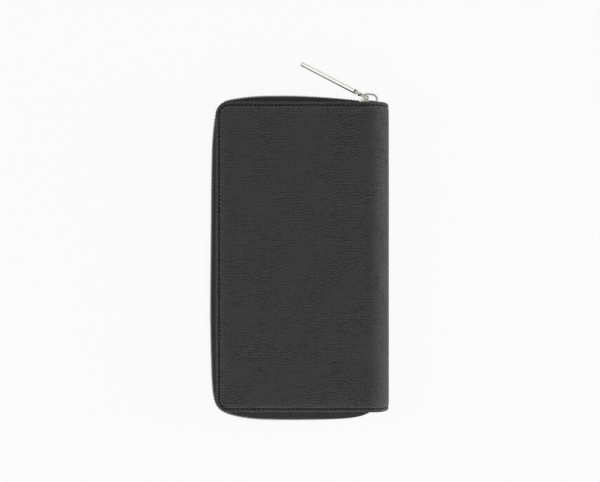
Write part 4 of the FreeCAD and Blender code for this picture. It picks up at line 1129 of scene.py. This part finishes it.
def spaced(lo, hi, step, extra=()):
    pts = list(np.linspace(lo, hi, max(3, int(round((hi - lo) / step)) + 1)))
    for e in extra:
        pts += [q for q in (e - 0.45, e - 0.22, e, e + 0.22, e + 0.45) if lo < q < hi]
    pts = sorted(pts)
    out = [pts[0]]
    for q in pts[1:]:
        if q - out[-1] > 0.12:
            out.append(q)
    out[-1] = hi
    return np.array(out)


def mirror(v, front):
    v = np.array(v, float)
    if front:
        v[:, 2] = T - v[:, 2]
    return v


def lay(name, data, mat, body, node, front):
    ob = make_mesh(name, mirror(data[0], front), data[1], data[2])
    recalc(ob)
    dress(ob, mat)
    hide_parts(node)
    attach(ob, body)
    return ob


TV, TF = stitch_shape(2.2, 0.5, 0.34, rings=5, segs=6)


def seam(points, zf, pitch=3.0):
    """Thread along a straight run from one point to the other, on the face zf(x, y)."""
    (xa, ya), (xb, yb) = points
    run = math.hypot(xb - xa, yb - ya)
    n = int(run / pitch)
    a = math.atan2(yb - ya, xb - xa) + math.radians(5)
    parts = []
    for k in range(n):
        f = (k + 0.5) / n
        x, y = xa + (xb - xa) * f, ya + (yb - ya) * f
        ca, sa = math.cos(a), math.sin(a)
        v = np.stack([x + TV[:, 0] * ca - TV[:, 1] * sa, y + TV[:, 0] * sa + TV[:, 1] * ca, zf(x, y) + 0.06 + TV[:, 2]], -1)
        parts.append((v, TF, TV[:, :2] / 100 + (x + y) / 37))
    return parts


MOUTHS = (-39.5, -28.5, -17.5, -6.5)


def panel_z(x, y):
    return 3.0 + 0.4 * sum(1 for q in MOUTHS if x > q + 0.3)


for front in (False, True):
    pre = "front_" if front else "back_"
    body = "front" if front else "back"
    sd = 5.0 if front else 0.0
    # lining: its border turns down over the foam and board
    xs, ys = spaced(-49.3, 40.3, 2.4), spaced(-91.3, 91.3, 2.4)
    rings = [(0.3, 2.57), (0.55, 2.45), (0.65, 2.2), (0.65, 1.25), (0.4, 1.22), (0.35, 2.1), (0.2, 2.3)]
    lay(pre + "lining_cloth", leaf(xs, ys, 2.32, 2.6, rings, wave=0.0, seed=sd), M_LINING, body, pre + "lining",
        front)
    # card base and the four stepped card strips, each with a creased mouth
    border = lambda X, Y: -0.05 * np.exp(-((X + 46.1) / 0.25) ** 2)
    xs = spaced(-47.35, 35.35, 2.2, (-46.1,))
    ys = spaced(-89.35, 89.35, 2.2)
    lay(pre + "card_base_panel", leaf(xs, ys, 2.62, 3.0, edge_rings(2.62, 3.0, 0.15), border, 0.02, sd + 1, (0, sd / 9)),
        M_PANEL, body, pre + "card_base", front)
    for k, mouth in enumerate(MOUTHS):
        z0 = 3.0 + 0.4 * k
        crease = (lambda q: lambda X, Y: -0.09 * np.exp(-((X - q - 1.4) / 0.2) ** 2)
                  - 0.10 * np.exp(-(Y / 0.35) ** 2) - 0.06 * np.exp(-((np.abs(Y) - 87.6) / 0.35) ** 2))(mouth)
        xs = spaced(mouth + 0.17, 35.33, 2.2, (mouth + 1.4,))
        ys = spaced(-89.33, 89.33, 2.2, (-87.6, 0.0, 87.6))
        lay(pre + "card_strip_%d" % (k + 1), leaf(xs, ys, z0 + 0.02, z0 + 0.4, edge_rings(z0 + 0.02, z0 + 0.4, 0.17), crease,
            0.03, sd + 2 + k, (k * 0.37, sd / 7)), M_PANEL, body, pre + "card_slot_%d" % (k + 1), front)
    rows = []
    for y in (-87.6, 87.6, 0.0):
        lo = -38.6 if y == 0 else -45.6
        rows += seam(((lo, y), (34.6, y)), panel_z)
    rows += seam(((-46.1, -88.6), (-46.1, 88.6)), lambda x, y: 3.0)
    v, f, u = merge(rows)
    ob = make_mesh(pre + "panel_stitching", mirror(v, front), f, u)
    recalc(ob)
    dress(ob, M_THREAD)
    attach(ob, body)
    # lining of the rolled spine, softly ribbed along its fold
    phis, ys = np.linspace(0.03, math.pi / 2 - 0.005, 26), spaced(-91.4, 91.4, 3.0)
    verts, uvs = [], []
    for rr_ in (10.25, 10.72):
        for ph in phis:
            for y in ys:
                w_ = 0.03 * math.sin(ph * 22) + 0.05 * noise.noise(Vector((ph * 3, y / 14, sd)))
                rad = rr_ + w_ - 0.05
                verts.append((XC + rad * math.sin(ph), y, MID - rad * math.cos(ph)))
                uvs.append((ph * 10.5 / 100, y / 100))
    n1, n2 = len(phis), len(ys)
    faces = grid_faces(n1, n2).tolist() + grid_faces(n1, n2, n1 * n2, flip=True).tolist()
    loop = [i * n2 for i in range(n1)] + [(n1 - 1) * n2 + j for j in range(1, n2)]
    loop += [i * n2 + n2 - 1 for i in range(n1 - 2, -1, -1)] + list(range(n2 - 2, 0, -1))
    m = len(loop)
    faces += [[loop[i], loop[i] + n1 * n2, loop[(i + 1) % m] + n1 * n2, loop[(i + 1) % m]] for i in range(m)]
    ob = make_mesh(pre + "spine_lining_cloth", mirror(verts, front), faces, np.array(uvs))
    recalc(ob)
    dress(ob, M_LINING)
    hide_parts(pre + "spine_lining")
    fold_blend(ob, 1 if front else -1)
    # gussets: one leaf folded inwards, its edges sewn to the card panel and to the coin pocket
    for sy, where in ((1, "top"), (-1, "bottom")):
        z_lo, z_hi, zm = 4.72, 9.08, 6.9
        line = [(86.0, z_lo + 0.2), (84.5, z_lo + 0.42), (80.0, z_lo + 0.95), (75.0, z_lo + 1.42), (72.6, zm - 0.55),
                (71.8, zm - 0.28), (71.45, zm), (71.8, zm + 0.28), (72.6, zm + 0.55), (75.0, z_hi - 1.42),
                (80.0, z_hi - 0.95), (84.5, z_hi - 0.42), (86.0, z_hi - 0.2)]
        ln = catmull(line, 5)
        tn = np.gradient(ln, axis=0)
        tn /= np.linalg.norm(tn, axis=1)[:, None]
        nn = np.stack([-tn[:, 1], tn[:, 0]], -1)
        acc = np.concatenate([[0], np.cumsum(np.linalg.norm(np.diff(ln, axis=0), axis=1))])
        xs = np.linspace(-14.9, 31.9, 34)
        loops_ = []
        uvs = []
        for x in xs:
            soft = np.array([0.10 * noise.noise(Vector((x / 8 + sd, q / 6, sy * 2.0 + sd))) for q in acc])
            soft *= np.sin(np.pi * np.clip(acc / acc[-1], 0, 1))
            a_ = ln + nn * (0.2 + soft)[:, None]
            b_ = ln + nn * (-0.2 + soft)[:, None]
            ring = np.concatenate([a_, b_[::-1]])
            loops_.append(np.column_stack([np.full(len(ring), x), ring[:, 0] * sy, ring[:, 1]]))
            uvs.append(np.column_stack([np.full(len(ring), x / 100), np.concatenate([acc, acc[::-1]]) / 100]))
        nv = len(loops_[0])
        faces = grid_faces(len(xs), nv, 0, False, True).tolist()
        faces += [list(range(nv)), [(len(xs) - 1) * nv + j for j in range(nv)][::-1]]
        ob = make_mesh(pre + "gusset_leaf_" + where, mirror(np.concatenate(loops_), front), faces, np.concatenate(uvs))
        recalc(ob)
        dress(ob, M_GUSSET)
        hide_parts(pre + "gusset_" + where)
        if front:
            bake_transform(ob)
        else:
            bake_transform(ob)
    # coin pocket wall, its rim folded over and sewn down
    hem = lambda X, Y: (0.10 * (1 - smooth01(3.0, 3.7, X + 42.5)) - 0.08 * np.exp(-((X + 42.5 - 2.1) / 0.25) ** 2)
                        - 0.08 * np.exp(-((np.abs(Y) - 86.2) / 0.25) ** 2))
    xs = spaced(-42.28, 33.78, 2.2, (-40.4, -39.2))
    ys = spaced(-87.78, 87.78, 2.2, (-86.2, 86.2))
    lay("coin_pocket_front_panel" if front else "coin_pocket_back_panel",
        leaf(xs, ys, 9.92, 9.22, [(g_, 19.14 - z_) for g_, z_ in edge_rings(9.22, 9.92, 0.22)],
             (lambda h_: lambda X, Y: -h_(X, Y) * 0.9)(hem), 0.04, sd + 9, (0.5, sd / 5)),
        M_PANEL, "middle", "coin_pocket_front_wall" if front else "coin_pocket_back_wall", front)
    wz = lambda x, y: 9.22
    rows = []
    for r_ in (((-40.4, -86.2), (-40.4, 86.2)), ((-39.6, 86.2), (33.0, 86.2)), ((-39.6, -86.2), (33.0, -86.2))):
        rows += [(np.column_stack([q[0][:, 0], q[0][:, 1], 18.44 - q[0][:, 2]]), q[1], q[2]) for q in seam(r_, wz)]
    v, f, u = merge(rows)
    ob = make_mesh("coin_pocket_front_stitching" if front else "coin_pocket_back_stitching", mirror(v, front), f, u)
    recalc(ob)
    dress(ob, M_THREAD)
    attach(ob, "middle")

# ------------------------------------------------------------------ coin pocket: side strip, zip, slider and tab
path = [(-40.1, 87.6)] + [(x, 87.6) for x in np.linspace(-36, 31, 18)] + arc(32.4, 86.4, 1.2, 90, 0, 6)
path += [(33.6, y) for y in np.linspace(83, -83, 40)] + arc(32.4, -86.4, 1.2, 0, -90, 6)
path += [(x, -87.6) for x in np.linspace(31, -36, 18)] + [(-40.1, -87.6)]
pth = np.array(path)
tg = np.gradient(pth, axis=0)
tg /= np.linalg.norm(tg, axis=1)[:, None]
inn = np.stack([tg[:, 1], -tg[:, 0]], -1)          # towards the pocket's middle on this clockwise course
zz = np.linspace(-2.08, 2.08, 9)
acc = np.concatenate([[0], np.cumsum(np.linalg.norm(np.diff(pth, axis=0), axis=1))])
verts, uvs = [], []
for k in range(len(pth)):
    pk = 0.25 + 0.12 * noise.noise(Vector((acc[k] / 9, 0.5, 2.0)))
    for off, order in ((-0.36, zz), (0.36, zz[::-1])):
        for z in order:
            dent = pk * math.cos(z / 2.08 * math.pi / 2)
            q = pth[k] + inn[k] * (dent + off * (1 if abs(z) < 2 else 0.8))
            verts.append((q[0], q[1], MID + z))
            uvs.append((acc[k] / 100, z / 100))
nv = 2 * len(zz)
faces = grid_faces(len(pth), nv, 0, False, True).tolist()
faces += [list(range(nv)), [(len(pth) - 1) * nv + j for j in range(nv)][::-1]]
piece("coin_pocket_side_strip", [(verts, faces, uvs)], M_GUSSET, "middle", ["coin_pocket_edge_frame"])

for front in (False, True):
    prof = rounded_rect(-42.4, -41.9, 9.9, 11.2, 0.2, 3)
    ys = np.linspace(-86.3, 86.3, 130)
    verts, uvs = [], []
    for y in ys:
        wv = 0.035 * noise.noise(Vector((y / 5, 3.0 if front else 8.0, 0)))
        for x, z in prof:
            verts.append((x + wv, y, T - z if front else z))
            uvs.append((z / 100, y / 100))
    nv = len(prof)
    faces = grid_faces(len(ys), nv, 0, False, True).tolist()
    faces += [list(range(nv)), [(len(ys) - 1) * nv + j for j in range(nv)][::-1]]
    piece("coin_tape_front" if front else "coin_tape_back", [(verts, faces, uvs)], M_TAPE, "middle",
          ["coin_zip_front_tape" if front else "coin_zip_back_tape"])

tv, tf = tooth_shape()
tv = tv * np.array([0.52, 0.52, 1.0])
rows = []
y, i = -83.4, 0
while y < 70.8:
    side = 1 if i % 2 else -1
    w = (tv[:, 2] + 1.9) / 3.4 * 1.15
    z = MID - 0.8 + w if side < 0 else MID + 0.8 - w
    rows.append((np.stack([-42.15 + tv[:, 1], y + tv[:, 0], z], -1), tf, tv[:, :2] / 100))
    y += 0.8
    i += 1
piece("coin_zip_teeth_rows", rows, M_TEETH, "middle", ["coin_zip_teeth"], sharp=50)
cv, cf = crimp(0.48, 0.66, -0.84, -0.16)
rows = []
for yy in (84.7, -84.7):
    for sg in (1, -1):
        rows.append((np.stack([-42.15 + cv[:, 1], yy + cv[:, 0], MID + sg * cv[:, 2]], -1), cf, cv[:, :2] / 100))
piece("coin_zip_end_stops", rows, M_TEETH, "middle", ["coin_zip_stops"], sharp=50)

F_COIN = frame_of((-42.15, 75.0, MID), 0)
ch = [(-3.3, 0.6), (-3.3, 1.3), (-2.6, 1.75), (0.6, 1.85), (2.4, 1.98), (3.3, 1.7), (3.3, 0.6)]
c_out = chaikin([(a, b) for a, b in ch] + [(a, -b) for a, b in ch[::-1]], 2)
parts = []
for sgn in (1, -1):
    x0, x1 = sorted((sgn * 1.0, sgn * 1.7))
    parts.append(plate([c_out], x0, x1, "yzx"))
    for zs in (1, -1):
        rim2 = [(-2.3, zs * 1.3), (2.2, zs * 1.5), (2.3, zs * 1.9), (-2.4, zs * 1.72)]
        x0, x1 = sorted((sgn * 1.05, sgn * 0.45))
        parts.append(plate([rim2], x0, x1, "yzx"))
lv, lf, lu = lathe([(-1.1, 0.02), (-1.1, 0.5), (1.1, 0.5), (1.1, 0.02)], 16)
parts.append((np.stack([lv[:, 0], 2.1 + lv[:, 1], lv[:, 2]], 1), lf, lu))
piece("coin_slider_casting", parts, M_NICKEL, "coin_slider", ["coin_slider_body"], F_COIN, bevel=0.12, segs=2, angle=40)
cb = [(-1.6, -1.9), (-2.4, -1.9)] + [(-2.9 - 0.5 * math.sin(math.radians(a)), -1.4 - 0.5 * math.cos(math.radians(a))) for a in range(0, 91, 15)]
cb += [(-3.4, 0.0)] + [(-2.9 - 0.5 * math.cos(math.radians(a)), 1.4 + 0.5 * math.sin(math.radians(a))) for a in range(0, 91, 15)]
cb += [(-2.4, 1.9), (-1.6, 1.9)]
bv, bf, bu = tube([(x, y, 0) for x, y in cb], 0.35, 14, up=(0, 0, 1))
piece("coin_slider_bail_strap", [(bv, bf, bu)], M_NICKEL, "coin_slider", ["coin_slider_bail"], F_COIN, sharp=60)
F_TAB = frame_of((-44.23, 75.0, MID), 0)
tab = plate([rounded_rect(-11.2, -0.25, -1.5, 1.5, 1.1, 6), rounded_rect(-3.65, -0.85, -0.8, 0.8, 0.5, 5)[::-1]], -0.3, 0.3, "yzx")
piece("coin_puller_tab", [tab], M_NICKEL, "coin_puller", ["coin_puller"], F_TAB, bevel=0.13, segs=3, angle=40)

# ------------------------------------------------------------------ CAD nodes that stay: foam and board inside the covers
for node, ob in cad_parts.items():
    if "padding" in node:
        dress(ob, M_FOAM)
    elif "board" in node:
        dress(ob, M_BOARD)

# ------------------------------------------------------------------ stage, lights, camera
floor_me = bpy.data.meshes.new("floor")
floor_me.from_pydata([(-3, -3, -0.00002), (3, -3, -0.00002), (3, 3, -0.00002), (-3, 3, -0.00002)], [], [(0, 1, 2, 3)])
floor = bpy.data.objects.new("floor", floor_me)
bpy.context.scene.collection.objects.link(floor)
fm, fnt, fb = new_mat("floor_pale")
fb.inputs["Base Color"].default_value = (0.02, 0.02, 0.02, 1)
fb.inputs["Roughness"].default_value = 1.0
fb.inputs["Specular IOR Level"].default_value = 0.0
fb.inputs["Emission Color"].default_value = (1, 1, 1, 1)
fb.inputs["Emission Strength"].default_value = 0.93
floor_me.materials.append(fm)

world = bpy.data.worlds.new("studio")
bpy.context.scene.world = world
world.use_nodes = True
bg = world.node_tree.nodes["Background"]
bg.inputs[0].default_value = (1, 1, 1, 1)
bg.inputs[1].default_value = 0.33


def area(name, loc, target, size, power, size_y=None, gloss=True):
    li = bpy.data.lights.new(name, "AREA")
    li.energy = power
    li.shape = "RECTANGLE"
    li.size = size
    li.size_y = size_y or size
    ob = bpy.data.objects.new(name, li)
    bpy.context.scene.collection.objects.link(ob)
    ob.location = loc
    ob.rotation_euler = (Vector(target) - Vector(loc)).to_track_quat("-Z", "Y").to_euler()
    ob.visible_glossy = gloss       # the low side fills give light without a hot streak at grazing angles
    return ob


area("overhead", (-0.1, 0.0, 1.7), (-0.1, 0.0, 0), 2.4, 3.0)
area("high_left", (-0.78, 0.42, 1.38), (0.02, 0.1, 0.012), 0.9, 1.55)
area("high_back", (-0.20, 1.42, 1.09), (0.02, 0.1, 0.012), 1.1, 1.8)
area("box_left", (-1.25, -0.1, 1.0), (0, 0, 0.012), 0.9, 17, 1.8, gloss=False)
area("low_left", (-1.3, 0.0, 0.36), (-0.05, 0, 0.012), 0.4, 8, 1.4, gloss=False)
area("box_right", (1.4, -0.1, 0.75), (0.02, 0, 0.012), 0.9, 25, 1.8, gloss=False)
area("low_right", (1.3, 0.0, 0.16), (0.05, 0, 0.012), 0.32, 27.5, 1.2, gloss=False)
area("box_front", (0.0, -1.5, 0.9), (0, 0, 0.012), 1.6, 4, 0.7)
area("near_front", (0.0, -0.62, 0.5), (0, -0.02, 0.012), 0.4, 1.75)

cam_d = bpy.data.cameras.new("camera")
cam = bpy.data.objects.new("camera", cam_d)
bpy.context.scene.collection.objects.link(cam)
bpy.context.scene.camera = cam
DIST = 10.0
PX = 0.606                     # millimetres to a pixel at the front cover's height
cam_d.sensor_width = 36.0
cam_d.lens = 36.0 * DIST / (600 * PX * MM)
cam_d.clip_end = 60
cam.location = (-1.17 * MM, 9.66 * MM, T * MM + DIST)
cam.rotation_euler = (0, 0, 0)
cam_d.dof.use_dof = False
bpy.context.scene.view_settings.view_transform = "Standard"
bpy.context.scene.view_settings.look = "None"
